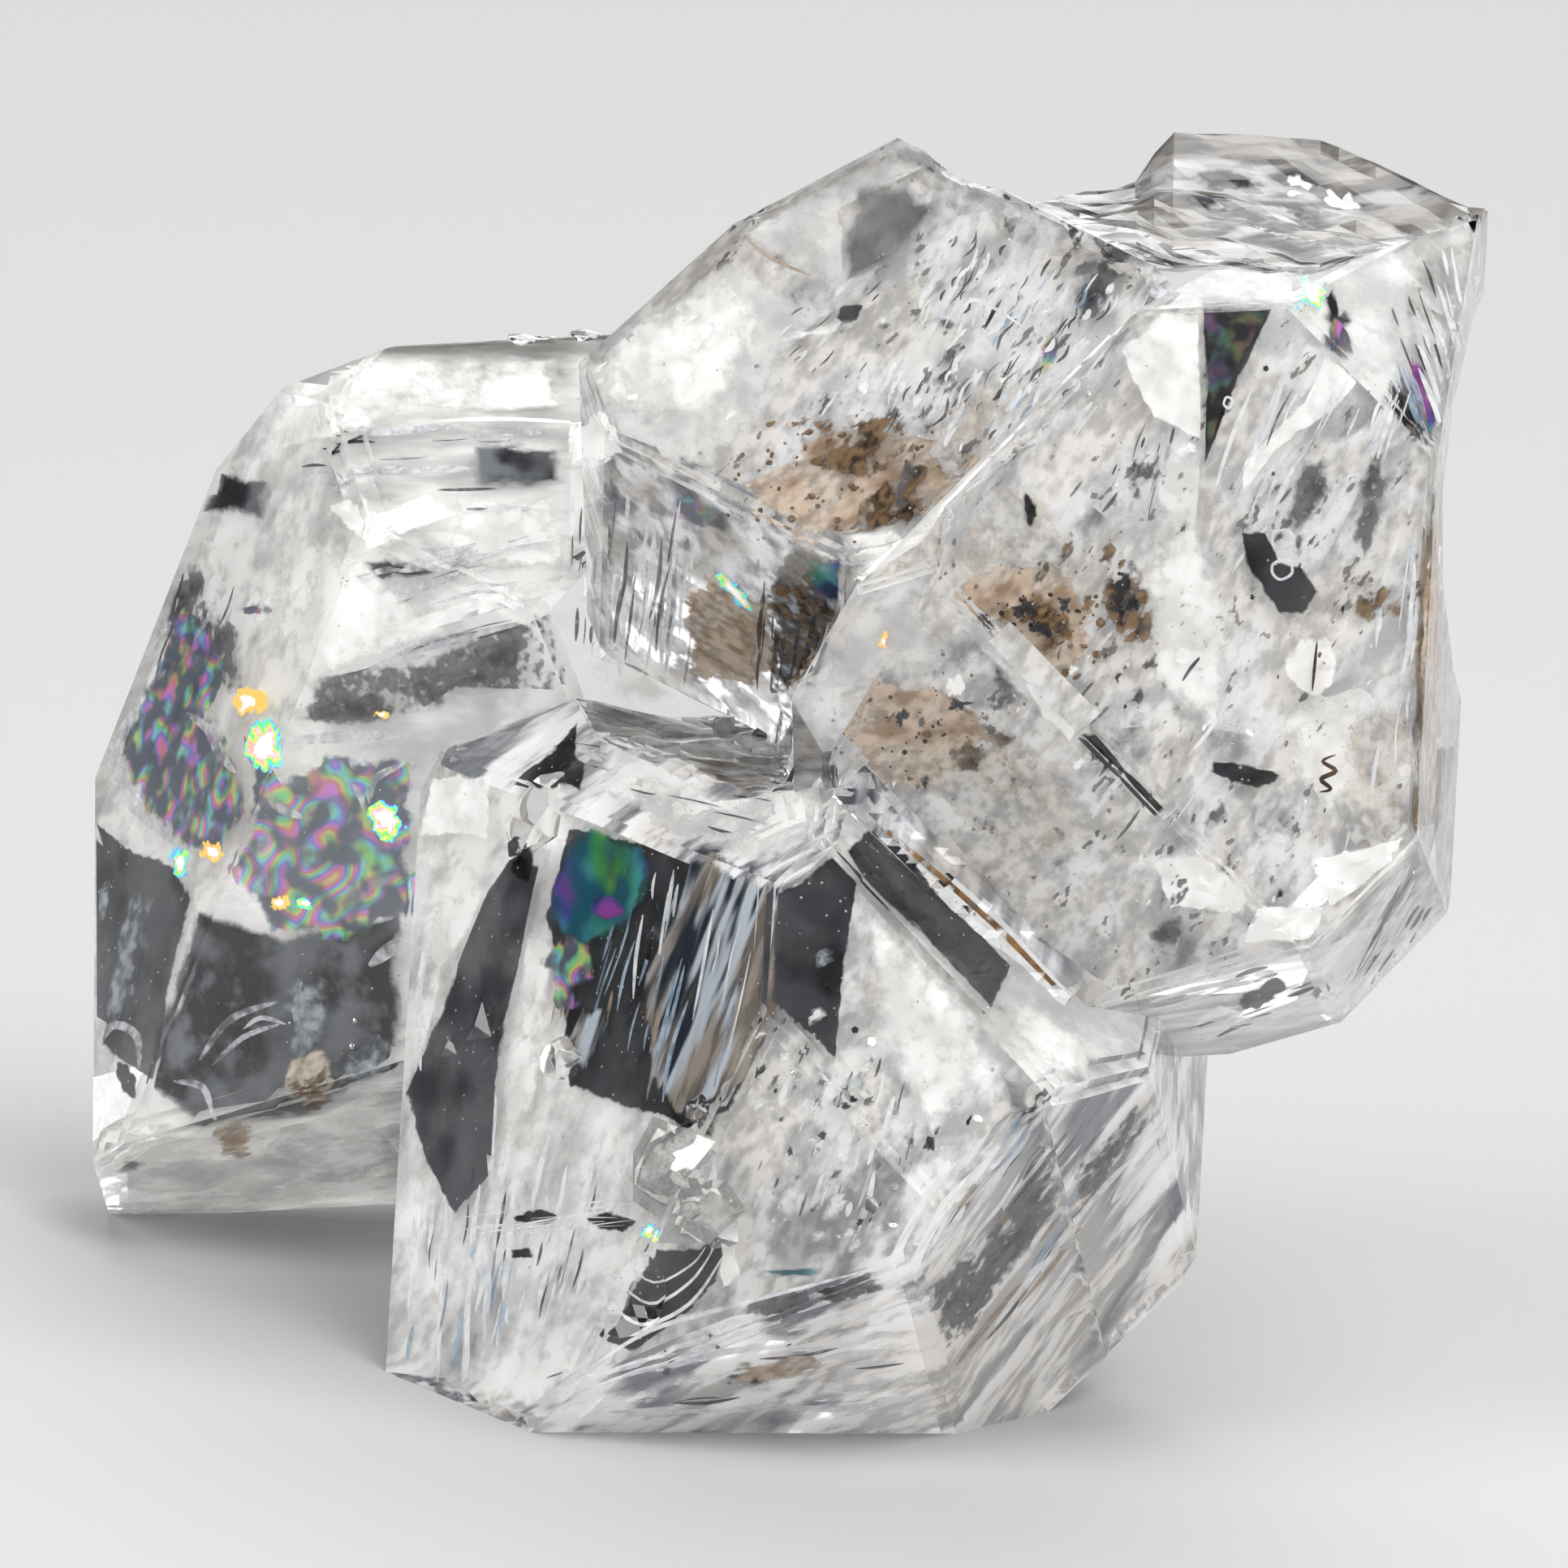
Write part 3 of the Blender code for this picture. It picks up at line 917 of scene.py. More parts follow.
def keep(piece: bpy.types.Object) -> bpy.types.Object:
    """Puts a piece in the scene, riding with the cluster, and logs it.

    Args:
        piece: the new piece.

    Returns:
        The same piece.
    """
    bpy.context.scene.collection.objects.link(piece)
    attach(piece, BODY)
    LOG.info("%s: %d faces", piece.name, len(piece.data.polygons))
    return piece


@dataclass(frozen=True)
class Whole:
    """A film behind one whole face of a crystal, at a wavy depth in millimetres."""

    finish: str
    depth: float
    seed: Spot
    wave: float = 0.3
    wave_length: float = 4.0
    mesh: float = 1.1
    rounds: int = 5

    def into(self, shape: Shape, inside: Inside) -> None:
        """Adds the face, cut fine and moved into the crystal the way that the eye looks through it.

        Args:
            shape: what the film is added to.
            inside: the clear cluster's inside.
        """
        flat = inside.region(self.seed)
        for _ in range(self.rounds):
            long = [edge for edge in flat.edges if edge.calc_length() > self.mesh * MM]
            bmesh.ops.subdivide_edges(flat, edges=long, cuts=1)
            bmesh.ops.triangulate(flat, faces=flat.faces[:])
        flat.verts.index_update()
        points = []
        for vertex in flat.verts:
            ripple = noise.noise(vertex.co / (self.wave_length * MM) + Vector((0.0, 0.0, self.depth)))
            points.append(inside.beneath(vertex.co, (self.depth + self.wave * ripple) * MM, self.seed))
        shape.add(points, [tuple(vertex.index for vertex in face.verts) for face in flat.faces])
        flat.free()


# The points of a film laid within a rim are this far apart on the viewing grid, and its ripples this long.
PITCH = 20.0
RIPPLE = 70.0
RIPPLE_TURN = 3.0


def lay(rim: list[Vector], depth: float, wave: float, shape: Shape, inside: Inside) -> None:
    """Lays a film in rings from a closed rim to its middle, rippled in depth.

    Args:
        rim: the rim's corners on the viewing grid, in order.
        depth: how deep it lies, in millimetres.
        wave: how much it ripples, in millimetres.
        shape: what the film is added to.
        inside: the clear cluster's inside.
    """
    edge = []
    for start, end in zip(rim, rim[1:] + rim[:1]):
        steps = max(1, math.ceil((end - start).length / PITCH))
        edge += [start.lerp(end, step / steps) for step in range(steps)]
    middle = sum(edge, Vector((0.0, 0.0))) / len(edge)
    count = len(edge)
    rings = max(2, math.ceil(max((corner - middle).length for corner in edge) / PITCH))
    points, rims = [], []
    for ring in range(rings):
        for corner in edge:
            spot = corner.lerp(middle, ring / rings)
            ripple = noise.noise(Vector((spot.x / RIPPLE, spot.y / RIPPLE, depth * RIPPLE_TURN)))
            points.append(inside.at(spot, (depth + wave * ripple) * MM))
            rims.append(min(1.0, ring / rings * (corner - middle).length / RIM_REACH))
    points.append(inside.at(middle, depth * MM))
    faces = [
        (ring * count + index, ring * count + beside, (ring + 1) * count + beside, (ring + 1) * count + index)
        for ring in range(rings - 1)
        for index, beside in ((step, (step + 1) % count) for step in range(count))
    ]
    last = (rings - 1) * count
    faces += [(last + index, last + (index + 1) % count, rings * count) for index in range(count)]
    shape.add(points, faces, rims + [1.0])


@dataclass(frozen=True)
class Pane:
    """A film with straight sides, at a depth in millimetres."""

    finish: str
    depth: float
    outline: tuple[Spot, ...]
    wave: float = 0.15

    def into(self, shape: Shape, inside: Inside) -> None:
        """Adds the film to a shape."""
        lay([Vector(spot) for spot in self.outline], self.depth, self.wave, shape, inside)


@dataclass(frozen=True)
class Crust:
    """A film close behind the small facets of broken ground, those that are seen inside an outline."""

    finish: str
    depth: float
    outline: tuple[Spot, ...]
    most: float = 5.0

    def into(self, shape: Shape, inside: Inside) -> None:
        """Adds the film to a shape.

        Args:
            shape: what the film is added to.
            inside: the clear cluster's inside.
        """
        places: dict[tuple[float, ...], int] = {}
        points, faces = [], []
        for corners in inside.facets([Vector(spot) for spot in self.outline], self.most * MM):
            for corner in corners:
                if tuple(corner) not in places:
                    places[tuple(corner)] = len(points)
                    points.append(inside.sunk(corner, self.depth * MM))
            faces.append(tuple(places[tuple(corner)] for corner in corners))
        shape.add(points, faces)


@dataclass(frozen=True)
class Blot:
    """A film with a round, uneven rim: its middle, half its length and width, and its lean from upright."""

    finish: str
    depth: float
    middle: Spot
    size: Spot
    lean: float = 0.0
    ragged: float = 0.18
    corners: int = 22
    bays: float = 1.7
    turn: float = 7.0
    wave: float = 0.1

    def into(self, shape: Shape, inside: Inside) -> None:
        """Adds the film to a shape.

        Args:
            shape: what the film is added to.
            inside: the clear cluster's inside.
        """
        turn = Matrix.Rotation(math.radians(self.lean), 2)
        rim = []
        for corner in range(self.corners):
            angle = corner * math.tau / self.corners
            across, down = math.cos(angle), math.sin(angle)
            at = Vector((across * self.bays, down * self.bays, sum(self.middle) / self.turn))
            far = 1.0 + self.ragged * 2.0 * noise.noise(at)
            reach = Vector((across * self.size[1], down * self.size[0])) * far
            rim.append(Vector(self.middle) + turn @ reach)
        lay(rim, self.depth, self.wave, shape, inside)


@dataclass(frozen=True)
class Flecks:
    """Small films scattered over a part of a face."""

    finish: str
    count: int
    middle: Spot
    spread: Spot
    size: Spot
    lean: float = 30.0
    depths: Spot = (0.5, 1.4)
    slimness: Spot = (0.35, 0.8)
    sway: float = 25.0
    ragged: float = 0.4
    corners: int = 12

    def into(self, shape: Shape, inside: Inside) -> None:
        """Adds the films to a shape.

        Args:
            shape: what the films are added to.
            inside: the clear cluster's inside.
        """
        draw = random.Random(f"{self.finish} {self.count} {self.middle}")
        for _ in range(self.count):
            angle, far = draw.uniform(0.0, math.tau), math.sqrt(draw.random())
            across = self.middle[0] + math.cos(angle) * far * self.spread[0]
            down = self.middle[1] + math.sin(angle) * far * self.spread[1]
            half = draw.uniform(*self.size)
            size = (half, half * draw.uniform(*self.slimness))
            lean = self.lean + draw.uniform(-self.sway, self.sway)
            depth = draw.uniform(*self.depths)
            fleck = Blot(self.finish, depth, (across, down), size, lean, self.ragged, self.corners)
            fleck.into(shape, inside)


@dataclass(frozen=True)
class Stroke:
    """A thin curved line, such as a crack's rim or a fibre: widest in its middle, or even where it closes."""

    finish: str
    depth: float
    width: float
    path: tuple[Spot, ...]
    closed: bool = False
    steps: int = 5
    thinnest: float = 0.08
    fullness: float = 0.6

    def curve(self) -> list[Vector]:
        """Draws a smooth curve through the path.

        Returns:
            The curve's points on the viewing grid.
        """
        path = [Vector(spot) for spot in self.path]
        before, after = (path[-1:], path[:2]) if self.closed else (path[:1], path[-1:])
        knots = before + path + after
        made = []
        for one, two, three, four in zip(knots, knots[1:], knots[2:], knots[3:]):
            for step in range(self.steps):
                t = step / self.steps
                cubic = (-one + two * 3 - three * 3 + four) * t**3
                square = (one * 2 - two * 5 + three * 4 - four) * t**2
                made.append((cubic + square + (three - one) * t + two * 2) / 2)
        return made + [made[0] if self.closed else path[-1]]

    def into(self, shape: Shape, inside: Inside) -> None:
        """Adds the line to a shape.

        Args:
            shape: what the line is added to.
            inside: the clear cluster's inside.
        """
        curve = self.curve()
        last = len(curve) - 1
        points = []
        for index, spot in enumerate(curve):
            along = curve[min(index + 1, last)] - curve[max(index - 1, 0)]
            if along.length == 0.0:
                along = curve[1] - curve[0]
            aside = Vector((-along.y, along.x)).normalized() * self.width / 2
            taper = max(math.sin(math.pi * index / last), self.thinnest) ** self.fullness
            aside *= 1.0 if self.closed else taper
            points += [inside.at(side, self.depth * MM) for side in (spot + aside, spot - aside)]
        faces = [(index * 2, index * 2 + 1, index * 2 + 3, index * 2 + 2) for index in range(last)]
        shape.add(points, faces)


@dataclass(frozen=True)
class Comb:
    """Many fine lines side by side, each on a part of the way from a line's start to its end."""

    finish: str
    count: int
    depths: Spot
    first: tuple[Spot, Spot]
    last: tuple[Spot, Spot]
    width: Spot
    share: Spot = (0.15, 0.6)
    bow: float = 0.05
    steps: int = 3

    def into(self, shape: Shape, inside: Inside) -> None:
        """Adds the lines to a shape.

        Args:
            shape: what the lines are added to.
            inside: the clear cluster's inside.
        """
        draw = random.Random(f"{self.finish} {self.count} {self.first} {self.last}")
        for _ in range(self.count):
            across = draw.random()
            start = Vector(self.first[0]).lerp(Vector(self.last[0]), across)
            end = Vector(self.first[1]).lerp(Vector(self.last[1]), across)
            share = draw.uniform(*self.share)
            begin = draw.uniform(0.0, 1.0 - share)
            one, two = start.lerp(end, begin), start.lerp(end, begin + share)
            side = Vector((one.y - two.y, two.x - one.x)) * draw.uniform(-self.bow, self.bow)
            path = (tuple(one), tuple((one + two) / 2 + side), tuple(two))
            width = draw.uniform(*self.width)
            Stroke(self.finish, draw.uniform(*self.depths), width, path, steps=self.steps).into(shape, inside)


# --- what repeats: grains, flakes and bubbles ------------------------------------------------------


class Speck(Enum):
    """The forms of the small things inside."""

    GRAIN = "grain"
    FLAKE = "flake"
    BUBBLE = "bubble"


# A flake's corners, and how much a grain may be squashed along each of its sides.
FLAKE_CORNERS = 5
GRAIN_SQUASH = (0.45, 0.6, 1.0)

# How rare the large specks are: the power of the chance that sizes one.
LARGE_IS_RARE = 3.0


def speck_form(tree: Tree, kind: Speck) -> bpy.types.NodeSocket:
    """Adds the nodes that make one speck, about one unit across.

    Args:
        tree: a hand on the Geometry Nodes tree.
        kind: the speck's form.

    Returns:
        The socket that gives its mesh.
    """
    if kind is Speck.FLAKE:
        inputs = {"Vertices": FLAKE_CORNERS, "Radius": 0.5}
        return tree.add("GeometryNodeMeshCircle", inputs, fill_type="NGON").outputs[0]
    fineness = 2 if kind is Speck.BUBBLE else 1
    return tree.add("GeometryNodeMeshIcoSphere", {"Radius": 0.5, "Subdivisions": fineness}).outputs[0]


def scatter_tree(kind: Speck) -> bpy.types.NodeTree:
    """Builds the tree that sets a speck on each point, turned and sized at random.

    Args:
        kind: the speck's form.

    Returns:
        The tree, with the inputs Points, Size, Spread, Seed and Finish.
    """
    group = bpy.data.node_groups.new("scatter_" + kind.value, "GeometryNodeTree")
    given = {"Points": "Geometry", "Size": "Float", "Spread": "Float", "Seed": "Int", "Finish": "Material"}
    for title, socket in given.items():
        group.interface.new_socket(title, in_out="INPUT", socket_type="NodeSocket" + socket)
    group.interface.new_socket("Mesh", in_out="OUTPUT", socket_type="NodeSocketGeometry")
    tree = Tree(group)
    take, result = tree.add("NodeGroupInput").outputs, tree.add("NodeGroupOutput")
    full, seed = (1.0, 1.0, 1.0), take["Seed"]
    squash = GRAIN_SQUASH if kind is Speck.GRAIN else full
    draw = "FunctionNodeRandomValue"
    turn = tree.add(draw, {1: (math.tau,) * 3, "Seed": seed}, data_type="FLOAT_VECTOR")
    stretch = tree.add(draw, {0: squash, 1: full, "Seed": seed}, data_type="FLOAT_VECTOR")
    chance = tree.add(draw, {2: 0.0, 3: 1.0, "Seed": seed}, data_type="FLOAT")
    rare = tree.math("POWER", chance.outputs[1], LARGE_IS_RARE)
    size = tree.math("MULTIPLY", take["Size"], tree.math("MULTIPLY_ADD", rare, take["Spread"], 1.0))
    scale = tree.add("ShaderNodeVectorMath", {0: stretch.outputs[0], "Scale": size}, operation="SCALE")
    placed = tree.add(
        "GeometryNodeInstanceOnPoints",
        {
            "Points": take["Points"],
            "Instance": speck_form(tree, kind),
            "Rotation": turn.outputs[0],
            "Scale": scale.outputs[0],
        },
    )
    whole = tree.add("GeometryNodeRealizeInstances", {"Geometry": placed.outputs[0]})
    dressed = tree.add("GeometryNodeSetMaterial", {"Geometry": whole.outputs[0], "Material": take["Finish"]})
    tree.put(result, "Mesh", dressed.outputs[0])
    return group


@dataclass(frozen=True)
class Swarm:
    """Many specks of one form about a middle: half its width and height, and its depths in millimetres."""

    kind: Speck
    finish: str
    count: int
    middle: Spot
    size: Spot
    depths: Spot
    grain: float
    spread: float = 2.0
    crowding: float = 0.6

    def into(self, shape: Shape, inside: Inside) -> None:
        """Adds the specks' points to a shape, thickest in the middle, where a speck has room.

        Args:
            shape: what the points are added to.
            inside: the clear cluster's inside.
        """
        draw = random.Random(f"{self.kind.value} {self.middle} {self.count}")
        for _ in range(self.count):
            angle, far = draw.uniform(0.0, math.tau), draw.random() ** self.crowding
            spot = (
                self.middle[0] + math.cos(angle) * far * self.size[0],
                self.middle[1] + math.sin(angle) * far * self.size[1],
            )
            place = inside.at(spot, draw.uniform(*self.depths) * MM)
            if place is not None and inside.clearance(place) > self.grain * MM * (1.0 + self.spread) / 2:
                shape.points.append(place)

    def build(self, name: str, inside: Inside, trees: dict[Speck, Any], finish: bpy.types.Material) -> None:
        """Sets a speck on each point, and keeps the plain mesh.

        Args:
            name: the piece's name.
            inside: the clear cluster's inside.
            trees: the Geometry Nodes trees.
            finish: the specks' material.
        """
        cloud = Shape()
        self.into(cloud, inside)
        mesh = bpy.data.meshes.new(name)
        mesh.from_pydata(cloud.points, [], [])
        held = bpy.data.objects.new(name, mesh)
        bpy.context.scene.collection.objects.link(held)
        modifier = held.modifiers.new("scatter", "NODES")
        modifier.node_group = trees[self.kind]
        values = {"Size": self.grain * MM, "Spread": self.spread, "Seed": self.count, "Finish": finish}
        for item in modifier.node_group.interface.items_tree:
            if item.in_out == "INPUT" and item.name in values:
                modifier[item.identifier] = values[item.name]
        graph = bpy.context.evaluated_depsgraph_get()
        made = bpy.data.meshes.new_from_object(held.evaluated_get(graph), depsgraph=graph)
        bpy.data.objects.remove(held)
        made.name = name
        if not made.materials:
            made.materials.append(finish)
        keep(bpy.data.objects.new(name, made))


# --- the four crystals -----------------------------------------------------------------------------


@dataclass(frozen=True)
class Crystal:
    """One of the grown-together crystals: its long axis, its films and its swarms."""

    name: str
    heading: float
    lean: float
    films: tuple[Any, ...]
    swarms: tuple[Swarm, ...] = ()

    def axis(self) -> Vector:
        """The direction of the long axis."""
        turn = Euler((0.0, math.radians(self.lean), math.radians(self.heading))).to_matrix()
        return turn @ Vector((0.0, 0.0, 1.0))

    def build(self, inside: Inside, finishes: dict[str, bpy.types.Material], trees: dict[Speck, Any]) -> None:
        """Makes the crystal's films, one piece for each finish, and its swarms.

        Args:
            inside: the clear cluster's inside.
            finishes: the materials by name.
            trees: the Geometry Nodes trees.
        """
        shapes: dict[str, Shape] = {}
        for film in self.films:
            film.into(shapes.setdefault(film.finish, Shape()), inside)
        for finish, shape in shapes.items():
            shape.piece(f"{self.name}_{finish}", finishes[finish])
        for index, swarm in enumerate(self.swarms):
            name = f"{self.name}_{swarm.finish}_{swarm.kind.value}s_{index}"
            swarm.build(name, inside, trees, finishes[swarm.finish])


FINISHES: tuple[Any, ...] = (
    # Clouds and torn films.
    Veil("milk", (0.97, 0.97, 0.96), (0.44, 0.44, 0.45), tint=(0.90, 0.87, 0.83), patch=520.0, crumb=2800.0,
         low=0.34, high=0.52, least=0.45, most=0.95, stretch=1.8, lean=30.0, fine=0.72, shard=0.15,
         glow=0.27),
    Veil("cream", (0.99, 0.98, 0.96), (0.60, 0.59, 0.57), tint=(0.90, 0.89, 0.87), patch=260.0, crumb=1600.0,
         low=0.34, high=0.54, least=0.40, most=0.94, stretch=4.0, lean=78.0, fine=0.5, shard=0.12, glow=0.36),
    Veil("haze", (0.90, 0.90, 0.90), (0.50, 0.50, 0.51), patch=300.0, crumb=1500.0, low=0.40, high=0.60,
         most=0.60, glow=0.08),
    # Painted shade: the next two dark films are set where the crystal shows dark; the first also makes the
    # real dark grains in the clay.
    Veil("smoke", (0.060, 0.062, 0.070), (0.010, 0.011, 0.014), tint=(0.10, 0.10, 0.11), patch=300.0,
         low=0.28, high=0.42, least=0.82, most=0.96, dust=(0.75, 0.75, 0.75), fine=0.3, soft=0.12),
    Veil("slate", (0.15, 0.155, 0.17), (0.05, 0.053, 0.062), tint=(0.20, 0.20, 0.21), patch=300.0, low=0.28,
         high=0.42, least=0.82, most=0.96, dust=(0.75, 0.75, 0.75), fine=0.3, soft=0.12),
    Veil("chalk", (1.0, 0.99, 0.97), (0.74, 0.73, 0.71), patch=360.0, crumb=2400.0, low=0.30, high=0.50,
         least=0.45, most=0.92, glow=0.38, soft=0.9, fine=0.5, ragged=2.5),
    # Painted shade, dim grey.
    Veil("dusk", (0.26, 0.26, 0.27), (0.10, 0.10, 0.11), tint=(0.34, 0.34, 0.35), crumb=1800.0, low=0.32,
         high=0.48, least=0.50, most=0.88, fine=0.4, soft=0.5, ragged=1.5),
    Veil("shade", (0.20, 0.20, 0.21), (0.06, 0.06, 0.07), patch=900.0, crumb=3600.0, low=0.38, high=0.50,
         least=0.1, most=0.85, fine=0.5, soft=0.5, ragged=2.0),
    # Painted highlight: a near-white film that glows.
    Veil("bright", (1.0, 0.99, 0.97), (0.80, 0.79, 0.77), patch=420.0, crumb=2400.0, low=0.30, high=0.50,
         least=0.62, most=0.97, glow=0.4, soft=0.12),
    Veil("clay", (0.84, 0.67, 0.52), (0.42, 0.28, 0.18), tint=(0.86, 0.74, 0.62), patch=900.0, crumb=3400.0,
         low=0.32, high=0.48, least=0.80, most=0.98, glow=0.13, soft=0.25, fine=0.8, ragged=1.8, stretch=1.6,
         lean=55.0, bite=0.13),
    # A dark film of painted shade with pale streaks, for the dark windows.
    Veil("ripple", (0.70, 0.77, 0.85), (0.030, 0.038, 0.055), tint=(0.44, 0.38, 0.32), patch=900.0,
         crumb=3400.0, low=0.30, high=0.44, least=0.85, most=0.96, stretch=5.0, lean=20.0, fine=0.5,
         bite=0.07, glow=0.06, soft=0.25, ragged=1.2),
    # Painted shade, the darkest.
    Veil("gloom", (0.24, 0.255, 0.28), (0.010, 0.012, 0.017), patch=260.0, crumb=1800.0, low=0.28, high=0.42,
         least=0.86, most=0.96, fine=0.45, soft=0.35, ragged=1.6, bite=0.09),
    Veil("mist", (0.66, 0.73, 0.79), (0.26, 0.30, 0.34), patch=700.0, crumb=2600.0, low=0.36, high=0.56,
         least=0.10, most=0.80, soft=0.8, ragged=3.0, glow=0.05),
    Veil("pewter", (0.70, 0.70, 0.69), (0.07, 0.07, 0.08), tint=(0.50, 0.47, 0.44), patch=620.0, crumb=2600.0,
         low=0.34, high=0.48, least=0.55, most=0.95, stretch=2.6, lean=82.0, fine=0.55, bite=0.08),
    Veil("umber", (0.36, 0.22, 0.11), (0.05, 0.035, 0.03), patch=1300.0, crumb=4200.0, low=0.44, high=0.54,
         soft=0.4, ragged=2.6, stretch=1.6, lean=40.0, bite=0.10),
    Veil("sand", (0.86, 0.78, 0.69), (0.50, 0.43, 0.36), tint=(0.80, 0.78, 0.76), patch=700.0, crumb=3000.0,
         low=0.34, high=0.54, least=0.15, most=0.85, glow=0.19, soft=0.6, ragged=3.0),
    Veil("pearl", (0.88, 0.87, 0.85), (0.68, 0.67, 0.66), patch=420.0, crumb=2400.0, low=0.30, high=0.56,
         least=0.45, most=0.88, glow=0.25, soft=0.5, fine=0.4, ragged=2.0),
    Veil("pocks", (0.26, 0.25, 0.25), (0.04, 0.04, 0.045), patch=1500.0, crumb=6000.0, low=0.60, high=0.66,
         most=0.85, stretch=2.2, lean=34.0),
    # Drawn-out streaks and rough chips.
    Veil("streaks", (0.95, 0.97, 1.0), (0.26, 0.27, 0.30), tint=(0.72, 0.69, 0.66), patch=700.0, crumb=2600.0,
         low=0.36, high=0.50, least=0.25, most=0.92, stretch=7.0, lean=8.0, fine=0.45, glow=0.30, bite=0.09),
    Veil("slants", (1.0, 1.0, 1.0), (0.18, 0.19, 0.22), tint=(0.88, 0.85, 0.82), patch=420.0, crumb=2600.0,
         low=0.34, high=0.50, least=0.40, most=0.95, stretch=5.0, lean=44.0, fine=0.5, glow=0.36, bite=0.075),
    Veil("frost", (0.72, 0.71, 0.69), (0.52, 0.51, 0.49), patch=900.0, crumb=8000.0, low=0.2, high=0.3,
         least=0.85, most=0.98, glow=0.05),
    Veil("rust", (0.55, 0.27, 0.07), (0.22, 0.10, 0.02), patch=900.0, crumb=3000.0, low=0.36, high=0.44,
         least=0.1, most=0.95),
    # Fine lines.
    Veil("pale_fibre", (1.0, 1.0, 1.0), (0.75, 0.77, 0.80), patch=700.0, crumb=3000.0, low=0.25, high=0.50,
         least=0.25, glow=0.25),
    Veil("wisp", (0.92, 0.93, 0.96), (0.55, 0.57, 0.60), patch=900.0, crumb=3600.0, low=0.36, high=0.60,
         least=0.15, most=0.85, glow=0.12),
    Veil("blue_fibre", (0.60, 0.72, 0.86), (0.30, 0.40, 0.52), patch=700.0, crumb=3000.0, low=0.25, high=0.50,
         least=0.2, most=0.8, glow=0.12),
    Veil("dark_fibre", (0.14, 0.14, 0.15), (0.03, 0.03, 0.035), patch=700.0, crumb=3000.0, low=0.25,
         high=0.50, least=0.2, most=0.85),
    Veil("tan_fibre", (0.66, 0.52, 0.38), (0.40, 0.28, 0.17), patch=700.0, crumb=3000.0, low=0.25, high=0.50,
         least=0.1, most=0.7, glow=0.05),
    # Coloured films, and flashes painted as highlights.
    Rainbow("rainbow", (0.12, 0.145, 0.19), scale=850.0, strength=0.66, hue=0.1, cover=0.9, bright=0.78,
            glow=0.12, spots=0.53),
    Rainbow("night_film", (0.05, 0.05, 0.055), scale=1100.0, bands=2.0, strength=0.40, hue=0.25, cover=0.92,
            bright=0.20, glow=0.02),
    Rainbow("teal_film", (0.02, 0.13, 0.18), scale=420.0, bands=0.9, strength=0.80, hue=0.09, cover=0.93,
            bright=0.40, glow=0.05, spots=0.52),
    Rainbow("blue_film", (0.02, 0.04, 0.13), scale=500.0, bands=1.0, strength=0.80, hue=0.11, cover=0.93,
            bright=0.45, glow=0.06, spots=0.48),
    Glint("glint"),
    Glint("amber_glint", hue=0.10, turn=-0.05),
    # Solid specks and hairs.
    Grain("clay_line", (0.14, 0.08, 0.05), (0.05, 0.03, 0.02)),
    Grain("coal", (0.06, 0.05, 0.05), (0.01, 0.01, 0.012)),
    Grain("clay_grain", (0.50, 0.36, 0.24), (0.25, 0.15, 0.09), rough=0.9),
    Grain("white_grain", (0.92, 0.92, 0.92), (0.7, 0.7, 0.7), rough=0.8),
    Grain("mirror", (0.95, 0.95, 0.95), (0.85, 0.86, 0.88), rough=0.05, metal=1.0),
)

